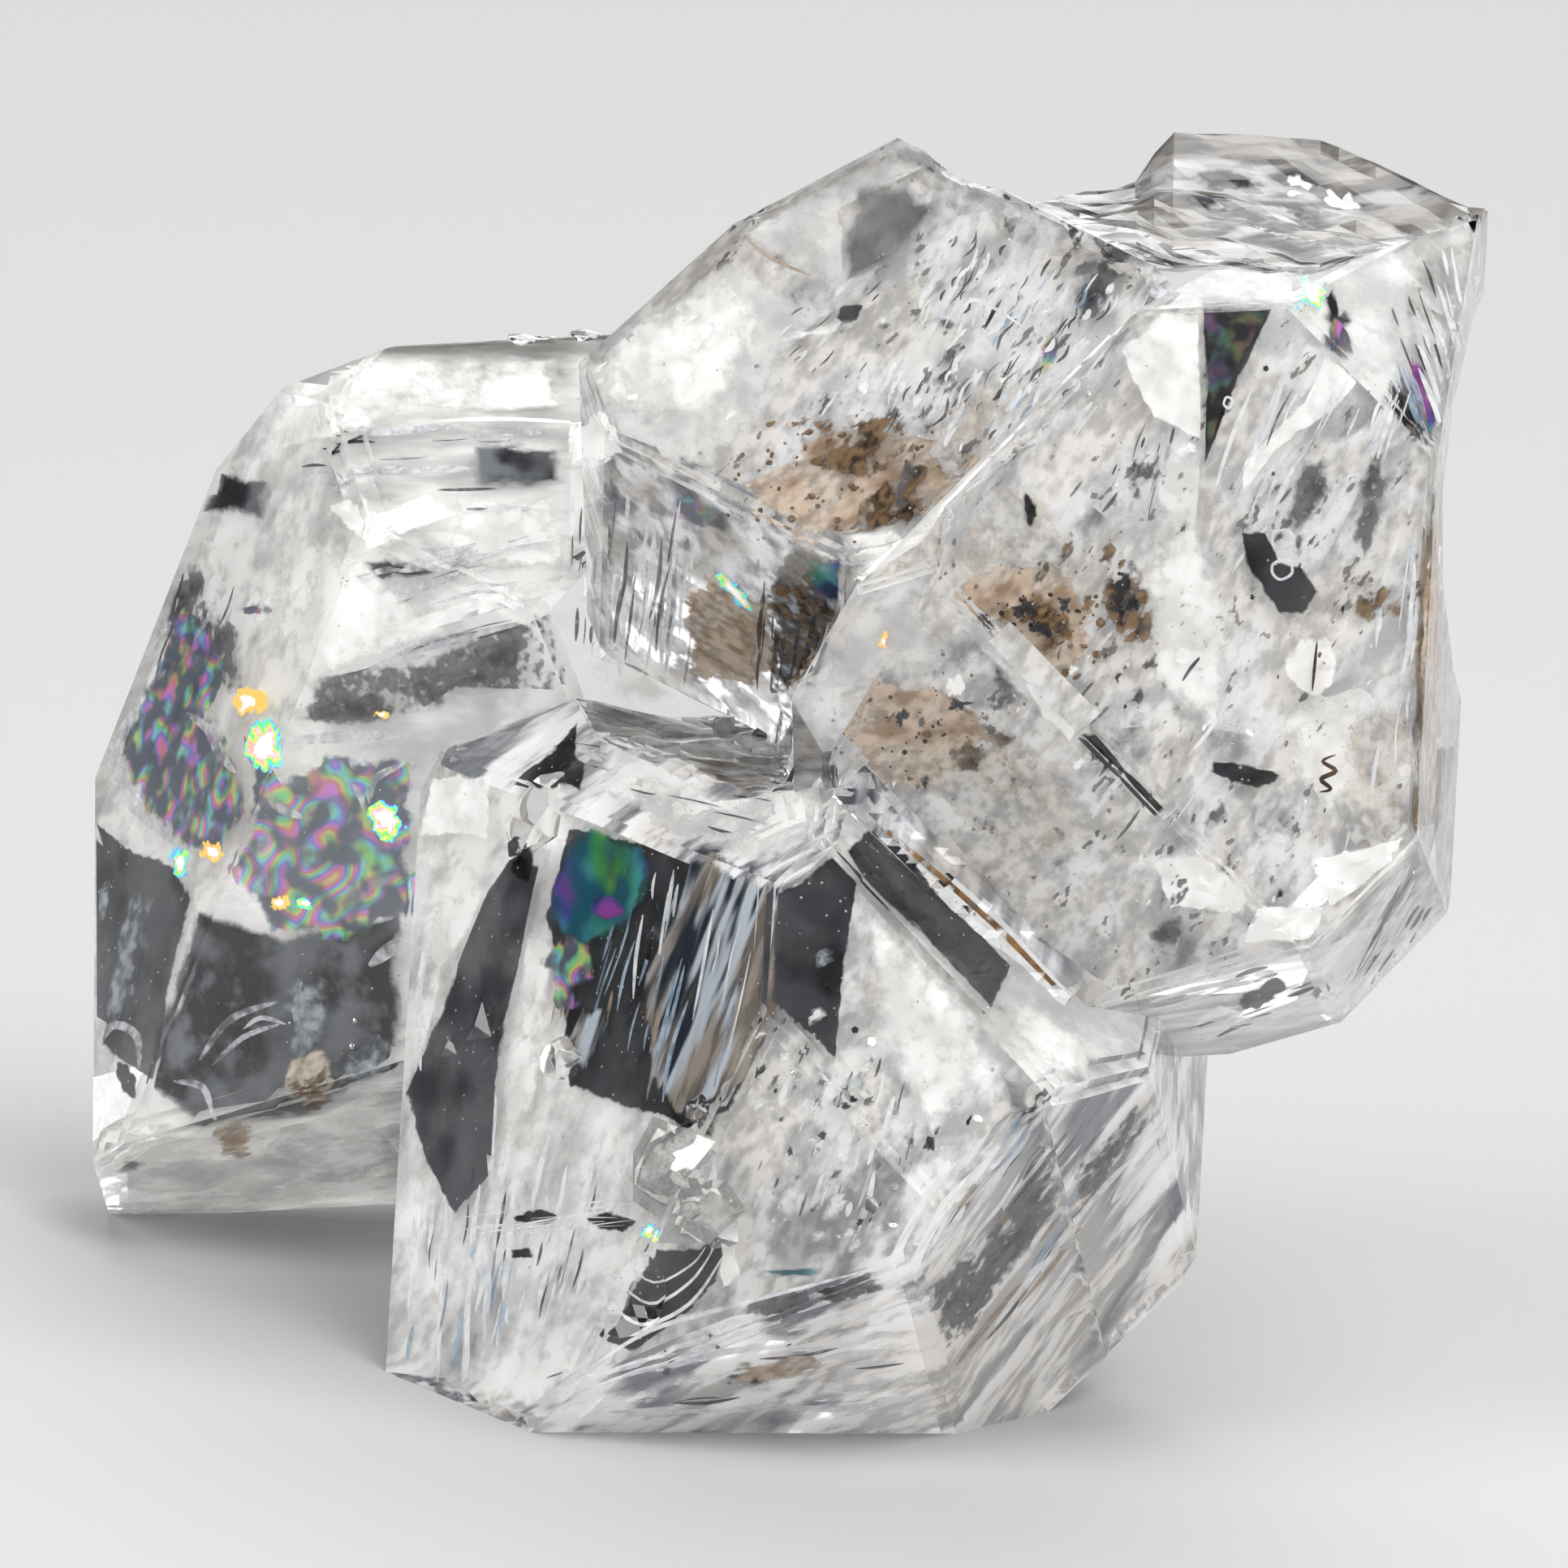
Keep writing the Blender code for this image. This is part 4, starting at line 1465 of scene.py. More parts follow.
RIGHT = Crystal(
    "right",
    heading=23.0,
    lean=45.1,
    films=(
        # Milk behind the whole faces.
        Whole("milk", 1.2, seed=(1512, 720)),
        Whole("pocks", 0.9, seed=(1512, 720)),
        Whole("milk", 1.1, seed=(1260, 984)),
        Whole("pocks", 0.8, seed=(1260, 984)),
        Whole("milk", 0.7, seed=(1050, 800), wave=0.1),
        Whole("sand", 1.2, seed=(1068, 696), wave=0.1),
        Crust("sand", 0.5, outline=((1030, 690), (1150, 640), (1190, 700), (1100, 740), (1040, 770))),
        Whole("milk", 0.4, seed=(1284, 840), wave=0.1),
        Whole("cream", 1.0, seed=(1728, 396)),
        Whole("haze", 0.5, seed=(1776, 792), wave=0.1),
        Whole("haze", 0.4, seed=(1548, 348), wave=0.1),
        Whole("cream", 1.0, seed=(1704, 1140)),
        Whole("cream", 1.0, seed=(1524, 1236)),
        # Clay, and dark openings painted as shade.
        Pane("clay", 0.9, outline=(
            (1175, 719), (1229, 697), (1299, 694), (1339, 724), (1349, 764), (1339, 814), (1294, 849),
            (1264, 819), (1224, 774), (1189, 744))),
        Pane("clay", 1.6, outline=((1340, 705), (1400, 720), (1438, 780), (1405, 850), (1345, 850))),
        Pane("clay", 0.9, outline=(
            (1032, 850), (1085, 832), (1150, 838), (1205, 870), (1232, 915), (1215, 965), (1150, 978),
            (1085, 962), (1040, 915))),
        Pane("clay", 2.2, outline=((1215, 860), (1300, 880), (1340, 950), (1240, 990))),
        Blot("clay", 1.4, middle=(1675, 722), size=(40, 44)),
        Pane("smoke", 0.7, outline=(
            (1530, 655), (1558, 655), (1577, 690), (1607, 700), (1625, 729), (1607, 759), (1577, 759),
            (1553, 729), (1533, 695))),
        Blot("smoke", 0.7, middle=(1531, 953), size=(44, 16), lean=103.0),
        Blot("smoke", 0.5, middle=(1269, 630), size=(25, 13), lean=-8.0),
        # The back faces seen through: one painted as shade and filmed, the others as painted highlights.
        Pane("smoke", 0.6, outline=((1482, 379), (1568, 379), (1529, 464), (1484, 575))),
        Pane("night_film", 0.4, outline=((1484, 380), (1564, 380), (1525, 464), (1486, 566))),
        Pane("bright", 0.6, outline=((1430, 381), (1480, 380), (1482, 545), (1420, 520), (1375, 430))),
        Pane("bright", 0.7, outline=(
            (1636, 436), (1675, 468), (1657, 496), (1596, 539), (1550, 568), (1529, 611), (1532, 571),
            (1586, 514), (1621, 482))),
        Pane("pearl", 0.5, outline=(
            (1145, 729), (1179, 734), (1300, 860), (1339, 898), (1319, 916), (1244, 849))),
        Pane("bright", 0.45, outline=((1262, 838), (1290, 846), (1339, 898), (1319, 914), (1280, 884))),
        # Sand and umber about the clay, with painted highlights and painted shade.
        Pane("sand", 0.6, outline=(
            (1180, 650), (1240, 590), (1300, 600), (1310, 690), (1230, 700), (1180, 720))),
        Pane("sand", 0.7, outline=(
            (1130, 960), (1230, 900), (1330, 960), (1350, 1060), (1240, 1060), (1180, 1010))),
        Pane("sand", 0.9, outline=((1650, 880), (1745, 860), (1740, 1020), (1690, 1060), (1640, 1010))),
        Pane("sand", 0.9, outline=((1390, 420), (1470, 390), (1478, 520), (1420, 500))),
        Blot("umber", 0.6, middle=(1275, 765), size=(56, 34), lean=120.0),
        Blot("umber", 0.6, middle=(1390, 740), size=(70, 30), lean=160.0),
        Blot("umber", 0.6, middle=(1192, 930), size=(30, 24)),
        Pane("pearl", 0.5, outline=(
            (1006, 850), (1052, 748), (1135, 732), (1185, 800), (1110, 838), (1040, 848))),
        Blot("umber", 0.7, middle=(1240, 935), size=(60, 22), lean=150.0),
        Blot("umber", 0.7, middle=(1690, 740), size=(26, 36)),
        Pane("smoke", 0.4, outline=((1332, 904), (1345, 899), (1437, 999), (1431, 1005))),
        Blot("bright", 0.5, middle=(1617, 819), size=(38, 38)),
        Pane("bright", 0.8, outline=((1418, 1060), (1480, 1048), (1543, 1105), (1525, 1127), (1440, 1115))),
        Pane("bright", 0.8, outline=((1612, 1060), (1735, 1030), (1742, 1050), (1640, 1117))),
        Pane("bright", 0.4, outline=((1530, 1162), (1550, 1115), (1632, 1117), (1620, 1162))),
        Blot("smoke", 0.7, middle=(1558, 1226), size=(36, 16), lean=58.0),
        Blot("dusk", 0.7, middle=(1622, 1222), size=(17, 13)),
        Pane("dusk", 0.7, outline=((1697, 1138), (1725, 1088), (1732, 1096), (1706, 1146))),
        Pane("clay", 0.3, outline=(
            (1752, 724), (1772, 640), (1776, 800), (1768, 1000), (1756, 1023), (1758, 850))),
        # A painted glint, painted shade and coloured cracks by the top edge.
        Blot("glint", 0.6, middle=(1616, 362), size=(18, 18), ragged=0.4),
        Blot("gloom", 0.8, middle=(1650, 398), size=(40, 22), lean=-10.0, ragged=0.4),
        Blot("rainbow", 0.7, middle=(1646, 410), size=(30, 16)),
        Comb("dark_fibre", 12, (0.5, 1.2), first=((1690, 450), (1740, 540)), last=((1735, 425), (1768, 555)),
             width=(3, 9), share=(0.2, 0.7)),
        Comb("blue_fibre", 8, (0.4, 1.0), first=((1690, 450), (1740, 540)), last=((1735, 425), (1768, 555)),
             width=(3, 8), share=(0.2, 0.7)),
        Comb("tan_fibre", 5, (0.4, 1.0), first=((1690, 450), (1740, 540)), last=((1735, 425), (1768, 555)),
             width=(3, 7), share=(0.2, 0.7)),
        Pane("blue_film", 0.7, outline=((1738, 440), (1752, 448), (1770, 520), (1765, 546), (1745, 500))),
        # The broken top, with painted highlights and painted shade.
        Crust("pewter", 0.5, outline=(
            (1270, 250), (1430, 170), (1530, 155), (1660, 170), (1850, 265), (1640, 335), (1540, 345),
            (1400, 340), (1270, 300))),
        Blot("bright", 0.3, middle=(1600, 228), size=(14, 18), ragged=0.5),
        Blot("bright", 0.3, middle=(1655, 252), size=(14, 24), lean=40.0, ragged=0.5),
        Blot("shade", 0.3, middle=(1560, 262), size=(16, 60)),
        Blot("shade", 0.3, middle=(1510, 225), size=(16, 50)),
        Blot("gloom", 0.3, middle=(1490, 245), size=(12, 30), ragged=0.4),
        Blot("sand", 0.4, middle=(1530, 250), size=(20, 60)),
        Comb("pale_fibre", 34, (0.4, 1.0), first=((1310, 262), (1560, 190)), last=((1400, 320), (1710, 300)),
             width=(2, 6)),
        Comb("dark_fibre", 26, (0.4, 1.0), first=((1310, 262), (1560, 200)), last=((1400, 315), (1700, 290)),
             width=(2, 7)),
        # Negative crystals, hairs and fine lines.
        Stroke("pale_fibre", 0.3, width=3.0, path=(
            (1572, 655), (1590, 655), (1592, 672), (1577, 676), (1568, 668)), closed=True),
        Stroke("pale_fibre", 0.3, width=3.5, path=(
            (1570, 694), (1588, 690), (1592, 706), (1578, 714), (1568, 706)), closed=True),
        Stroke("pale_fibre", 0.3, width=3.0, path=((1512, 489), (1519, 494), (1515, 503), (1508, 498)),
               closed=True),
        Stroke("clay_line", 0.3, width=4.0, path=((1623, 790), (1620, 820), (1617, 852))),
        Stroke("clay_line", 0.1, width=6.0, path=(
            (1646, 930), (1630, 938), (1646, 950), (1628, 960), (1640, 972), (1626, 976))),
        Comb("pale_fibre", 14, (0.3, 1.2), first=((1655, 545), (1690, 470)), last=((1705, 580), (1740, 480)),
             width=(2, 6), share=(0.4, 0.9)),
        Comb("pale_fibre", 26, (0.4, 2.5), first=((1475, 640), (1560, 400)), last=((1580, 660), (1720, 420)),
             width=(2, 9), share=(0.2, 0.7)),
        Comb("dark_fibre", 12, (0.4, 2.5), first=((1475, 640), (1560, 400)), last=((1580, 660), (1720, 420)),
             width=(1.2, 4.3), share=(0.1, 0.4)),
        Comb("dark_fibre", 22, (0.5, 1.8), first=((1330, 620), (1385, 500)), last=((1420, 650), (1450, 520)),
             width=(1.2, 5.6), share=(0.1, 0.4)),
        Comb("pale_fibre", 40, (0.5, 3.0), first=((1180, 690), (1380, 430)), last=((1400, 1120), (1720, 700)),
             width=(2, 8), share=(0.05, 0.2)),
        Comb("dark_fibre", 46, (0.5, 3.0), first=((1180, 690), (1380, 430)), last=((1400, 1120), (1720, 700)),
             width=(1.2, 5.6), share=(0.04, 0.12)),
        Comb("pale_fibre", 18, (0.3, 1.2), first=((1640, 1060), (1740, 560)),
             last=((1730, 1040), (1760, 600)), width=(2, 7), share=(0.05, 0.3)),
        Comb("pale_fibre", 20, (0.3, 1.2), first=((1700, 330), (1780, 540)), last=((1790, 300), (1812, 430)),
             width=(2, 8), share=(0.2, 0.6)),
        Comb("dark_fibre", 14, (0.3, 1.2), first=((1690, 330), (1770, 540)), last=((1760, 310), (1800, 430)),
             width=(1.2, 5.0), share=(0.1, 0.4)),
        Comb("tan_fibre", 16, (0.2, 0.8), first=((1752, 560), (1748, 1040)), last=((1776, 540), (1768, 1060)),
             width=(2, 7), share=(0.1, 0.4)),
        Comb("dark_fibre", 16, (0.3, 1.0), first=((1640, 1240), (1745, 1060)),
             last=((1690, 1240), (1770, 1120)), width=(1.2, 5.0), share=(0.1, 0.5)),
        Comb("pale_fibre", 26, (0.3, 1.0), first=((1620, 1240), (1735, 1050)),
             last=((1690, 1250), (1775, 1120)), width=(2, 8), share=(0.1, 0.5)),
        Comb("dark_fibre", 14, (0.3, 1.0), first=((1400, 1240), (1600, 1180)),
             last=((1500, 1290), (1650, 1230)), width=(1.8, 6.2), share=(0.1, 0.4)),
        Comb("pale_fibre", 20, (0.3, 1.0), first=((1370, 1230), (1600, 1170)),
             last=((1460, 1290), (1650, 1240)), width=(2, 8), share=(0.1, 0.5)),
        # Crumbs in the clay, a painted glint, flecks of umber, painted shade and painted highlight, and
        # clouds.
        Blot("smoke", 0.5, middle=(1262, 748), size=(16, 11), lean=60.0, ragged=0.4),
        Blot("smoke", 0.5, middle=(1285, 775), size=(14, 9), lean=100.0, ragged=0.4),
        Blot("smoke", 0.5, middle=(1312, 744), size=(9, 7), ragged=0.4),
        Blot("smoke", 0.5, middle=(1384, 724), size=(18, 8), lean=20.0, ragged=0.4),
        Blot("smoke", 0.5, middle=(1398, 742), size=(10, 8), ragged=0.4),
        Blot("shade", 0.5, middle=(1214, 768), size=(15, 11), lean=-30.0, ragged=0.3),
        Blot("smoke", 0.5, middle=(1183, 868), size=(16, 10), lean=90.0, ragged=0.4),
        Blot("smoke", 0.5, middle=(1110, 884), size=(13, 8), lean=20.0, ragged=0.4),
        Blot("smoke", 0.5, middle=(1140, 966), size=(8, 6), ragged=0.3),
        Blot("shade", 0.5, middle=(1236, 838), size=(18, 12), lean=-20.0, ragged=0.3),
        Blot("shade", 0.5, middle=(1220, 900), size=(18, 14), ragged=0.3),
        Blot("bright", 0.4, middle=(1176, 846), size=(16, 10), lean=10.0, ragged=0.5),
        Blot("amber_glint", 0.4, middle=(1089, 790), size=(13, 6), lean=10.0, ragged=0.3),
        Blot("shade", 0.6, middle=(1090, 766), size=(26, 9), lean=-24.0, ragged=0.3),
        Flecks("shade", 30, middle=(1480, 820), spread=(220, 300), size=(6, 17), lean=25.0),
        Flecks("umber", 14, middle=(1330, 780), spread=(120, 110), size=(6, 14), lean=25.0),
        Flecks("bright", 24, middle=(1480, 820), spread=(240, 330), size=(4, 12), lean=40.0,
               depths=(0.5, 1.0)),
        Flecks("smoke", 14, middle=(1480, 850), spread=(230, 300), size=(4, 9), lean=25.0, depths=(0.5, 1.0)),
        Pane("chalk", 0.9, outline=((1190, 640), (1290, 560), (1320, 620), (1290, 690), (1200, 690))),
        Pane("chalk", 0.9, outline=(
            (1425, 560), (1480, 550), (1478, 640), (1530, 760), (1500, 900), (1420, 860), (1400, 700))),
        Pane("chalk", 1.2, outline=(
            (1640, 760), (1740, 700), (1750, 960), (1700, 1030), (1600, 1010), (1560, 900))),
        Pane("chalk", 1.2, outline=(
            (1330, 960), (1440, 1010), (1500, 1080), (1400, 1090), (1280, 1040), (1250, 990))),
        Blot("shade", 0.9, middle=(1440, 1145), size=(30, 20), lean=60.0),
        Blot("shade", 0.9, middle=(1500, 1000), size=(26, 16), lean=40.0),
        Blot("shade", 0.9, middle=(1405, 590), size=(38, 18), lean=30.0),
        Blot("shade", 0.9, middle=(1612, 610), size=(50, 22), lean=24.0),
        Blot("shade", 0.9, middle=(1690, 620), size=(70, 18), lean=10.0),
    ),
    swarms=(
        Swarm(Speck.GRAIN, "coal", 40, middle=(1275, 758), size=(60, 34), depths=(0.4, 0.9), grain=0.09),
        Swarm(Speck.GRAIN, "coal", 16, middle=(1384, 728), size=(25, 40), depths=(0.4, 0.9), grain=0.09),
        Swarm(Speck.GRAIN, "coal", 30, middle=(1145, 905), size=(80, 60), depths=(0.4, 0.9), grain=0.08),
        Swarm(Speck.GRAIN, "clay_grain", 320, middle=(1310, 770), size=(130, 90), depths=(0.5, 4.0),
              grain=0.12),
        Swarm(Speck.GRAIN, "clay_grain", 240, middle=(1150, 900), size=(130, 80), depths=(0.5, 4.0),
              grain=0.12),
        Swarm(Speck.FLAKE, "mirror", 520, middle=(1470, 800), size=(300, 380), depths=(0.6, 7.0), grain=0.11),
        Swarm(Speck.GRAIN, "white_grain", 1200, middle=(1450, 800), size=(340, 440), depths=(0.2, 5.0),
              grain=0.06, spread=1.0),
    ),
)

CENTRE = Crystal(
    "centre",
    heading=-20.1,
    lean=109.0,
    films=(
        # Milk and streaks behind the whole faces, with flecks of painted highlight and painted shade.
        Whole("milk", 1.2, seed=(1056, 432)),
        Whole("pocks", 0.9, seed=(1056, 432)),
        Whole("streaks", 1.0, seed=(876, 732)),
        Whole("streaks", 0.5, seed=(732, 600), wave=0.1),
        Pane("chalk", 0.8, outline=((745, 780), (830, 790), (850, 850), (830, 890), (745, 870), (720, 820))),
        Pane("chalk", 0.8, outline=((1035, 660), (1140, 640), (1200, 590), (1150, 680), (1060, 745))),
        Whole("cream", 0.5, seed=(1164, 624), wave=0.1),
        Pane("pearl", 0.7, outline=(
            (905, 290), (1045, 200), (1100, 186), (1140, 205), (1048, 226), (1039, 353), (960, 345))),
        Pane("pearl", 0.8, outline=(
            (735, 480), (800, 400), (905, 300), (960, 350), (1030, 380), (960, 450), (930, 540), (870, 590),
            (750, 545))),
        Blot("chalk", 0.6, middle=(800, 445), size=(60, 90), lean=60.0),
        Pane("chalk", 0.75, outline=((720, 500), (790, 410), (900, 320), (960, 380), (900, 500), (800, 540))),
        Flecks("bright", 14, middle=(860, 430), spread=(140, 90), size=(5, 14), lean=60.0, depths=(0.5, 0.7)),
        Flecks("shade", 20, middle=(1170, 430), spread=(150, 110), size=(6, 18), lean=35.0),
        Flecks("umber", 12, middle=(1080, 520), spread=(130, 60), size=(5, 14), lean=50.0),
        Flecks("bright", 12, middle=(1190, 450), spread=(150, 110), size=(4, 11), lean=40.0,
               depths=(0.5, 1.0)),
        Blot("chalk", 0.6, middle=(1000, 410), size=(60, 16), lean=80.0),
        Blot("chalk", 0.6, middle=(950, 330), size=(24, 30)),
        Blot("bright", 0.5, middle=(742, 530), size=(16, 26), lean=60.0, ragged=0.4),
        # The tip painted dark as shade, the clay, and a painted highlight.
        Pane("dusk", 0.6, outline=(
            (1048, 221), (1124, 217), (1160, 253), (1133, 297), (1098, 329), (1039, 353))),
        Pane("clay", 0.9, outline=(
            (914, 596), (972, 570), (999, 529), (1062, 525), (1106, 534), (1196, 538), (1214, 565),
            (1187, 596), (1133, 637), (1039, 659), (990, 657), (946, 632))),
        Pane("umber", 0.7, outline=(
            (1000, 520), (1110, 500), (1130, 570), (1180, 580), (1150, 640), (1050, 660), (1060, 590),
            (990, 570))),
        Pane("umber", 0.6, outline=((1080, 610), (1130, 590), (1170, 590), (1130, 640), (1070, 655))),
        Pane("sand", 0.8, outline=((1180, 480), (1240, 470), (1230, 560), (1180, 600), (1140, 560))),
        Pane("bright", 0.4, outline=((697, 522), (745, 505), (770, 558), (745, 572), (702, 568))),
        # Coloured cracks, dark openings painted as shade, and a painted glint.
        Blot("rainbow", 0.8, middle=(1292, 442), size=(32, 18), lean=20.0),
        Blot("dusk", 0.8, middle=(1338, 330), size=(26, 20), lean=60.0),
        Blot("dusk", 0.8, middle=(1168, 398), size=(16, 22)),
        Blot("smoke", 0.7, middle=(1046, 388), size=(20, 12), lean=60.0),
        Blot("glint", 0.5, middle=(905, 730), size=(34, 10), lean=-42.0),
        # The left face: clay, and a dark facet painted as shade.
        Pane("clay", 0.8, outline=((839, 735), (880, 700), (950, 745), (964, 820), (930, 850), (850, 840))),
        Pane("ripple", 0.7, outline=(
            (946, 720), (975, 668), (1043, 690), (1041, 745), (1005, 850), (960, 850))),
        Pane("umber", 0.6, outline=((940, 720), (1000, 700), (1030, 760), (1000, 846), (950, 856))),
        Pane("blue_film", 0.5, outline=((977, 668), (1043, 690), (1041, 745), (1010, 745), (985, 710))),
        Blot("rainbow", 0.6, middle=(850, 628), size=(34, 22), lean=-30.0),
        Pane("dusk", 0.7, outline=((821, 579), (850, 590), (910, 640), (900, 663), (835, 640))),
        # Fine lines.
        Comb("dark_fibre", 20, (0.3, 0.9), first=((940, 700), (930, 860)), last=((1035, 700), (990, 850)),
             width=(2, 7), share=(0.1, 0.5)),
        Comb("dark_fibre", 26, (0.4, 1.6), first=((700, 590), (694, 790)), last=((840, 620), (800, 860)),
             width=(1.2, 5.6), share=(0.1, 0.5)),
        Comb("pale_fibre", 40, (0.3, 1.4), first=((705, 560), (700, 800)), last=((860, 620), (830, 870)),
             width=(2, 7), share=(0.1, 0.5)),
        Comb("tan_fibre", 10, (0.4, 1.6), first=((840, 680), (820, 860)), last=((960, 690), (920, 850)),
             width=(2, 8), share=(0.1, 0.4)),
        Comb("pale_fibre", 90, (0.4, 1.2), first=((1050, 540), (1180, 260)), last=((1240, 560), (1400, 350)),
             width=(2, 9), share=(0.05, 0.2), bow=0.2),
        Comb("dark_fibre", 60, (0.4, 1.2), first=((1050, 540), (1180, 260)), last=((1240, 560), (1400, 350)),
             width=(1, 5), share=(0.04, 0.16), bow=0.2),
        Comb("blue_fibre", 16, (0.4, 1.2), first=((1150, 520), (1280, 330)), last=((1240, 560), (1400, 350)),
             width=(2, 6), share=(0.05, 0.15), bow=0.2),
        Comb("pale_fibre", 30, (0.4, 2.0), first=((740, 470), (960, 330)), last=((1000, 560), (1160, 330)),
             width=(2, 7), share=(0.05, 0.2)),
        Comb("dark_fibre", 14, (0.4, 2.0), first=((900, 400), (1040, 330)), last=((1030, 520), (1160, 330)),
             width=(1.2, 3.7), share=(0.05, 0.2)),
        Stroke("pale_fibre", 0.3, width=5.0, path=((1176, 402), (1196, 370), (1226, 380), (1262, 404))),
        Stroke("tan_fibre", 0.4, width=5.0, path=((915, 290), (950, 318), (1000, 340))),
        Blot("shade", 0.7, middle=(1118, 600), size=(38, 20), lean=20.0),
        Blot("shade", 0.9, middle=(1360, 350), size=(46, 26), lean=40.0),
    ),
    swarms=(
        Swarm(Speck.GRAIN, "clay_grain", 360, middle=(1060, 590), size=(160, 80), depths=(0.5, 4.0),
              grain=0.12),
        Swarm(Speck.FLAKE, "mirror", 420, middle=(1050, 420), size=(300, 230), depths=(0.6, 6.0), grain=0.11),
        Swarm(Speck.GRAIN, "white_grain", 900, middle=(1000, 430), size=(320, 250), depths=(0.2, 5.0),
              grain=0.06, spread=1.0),
    ),
)

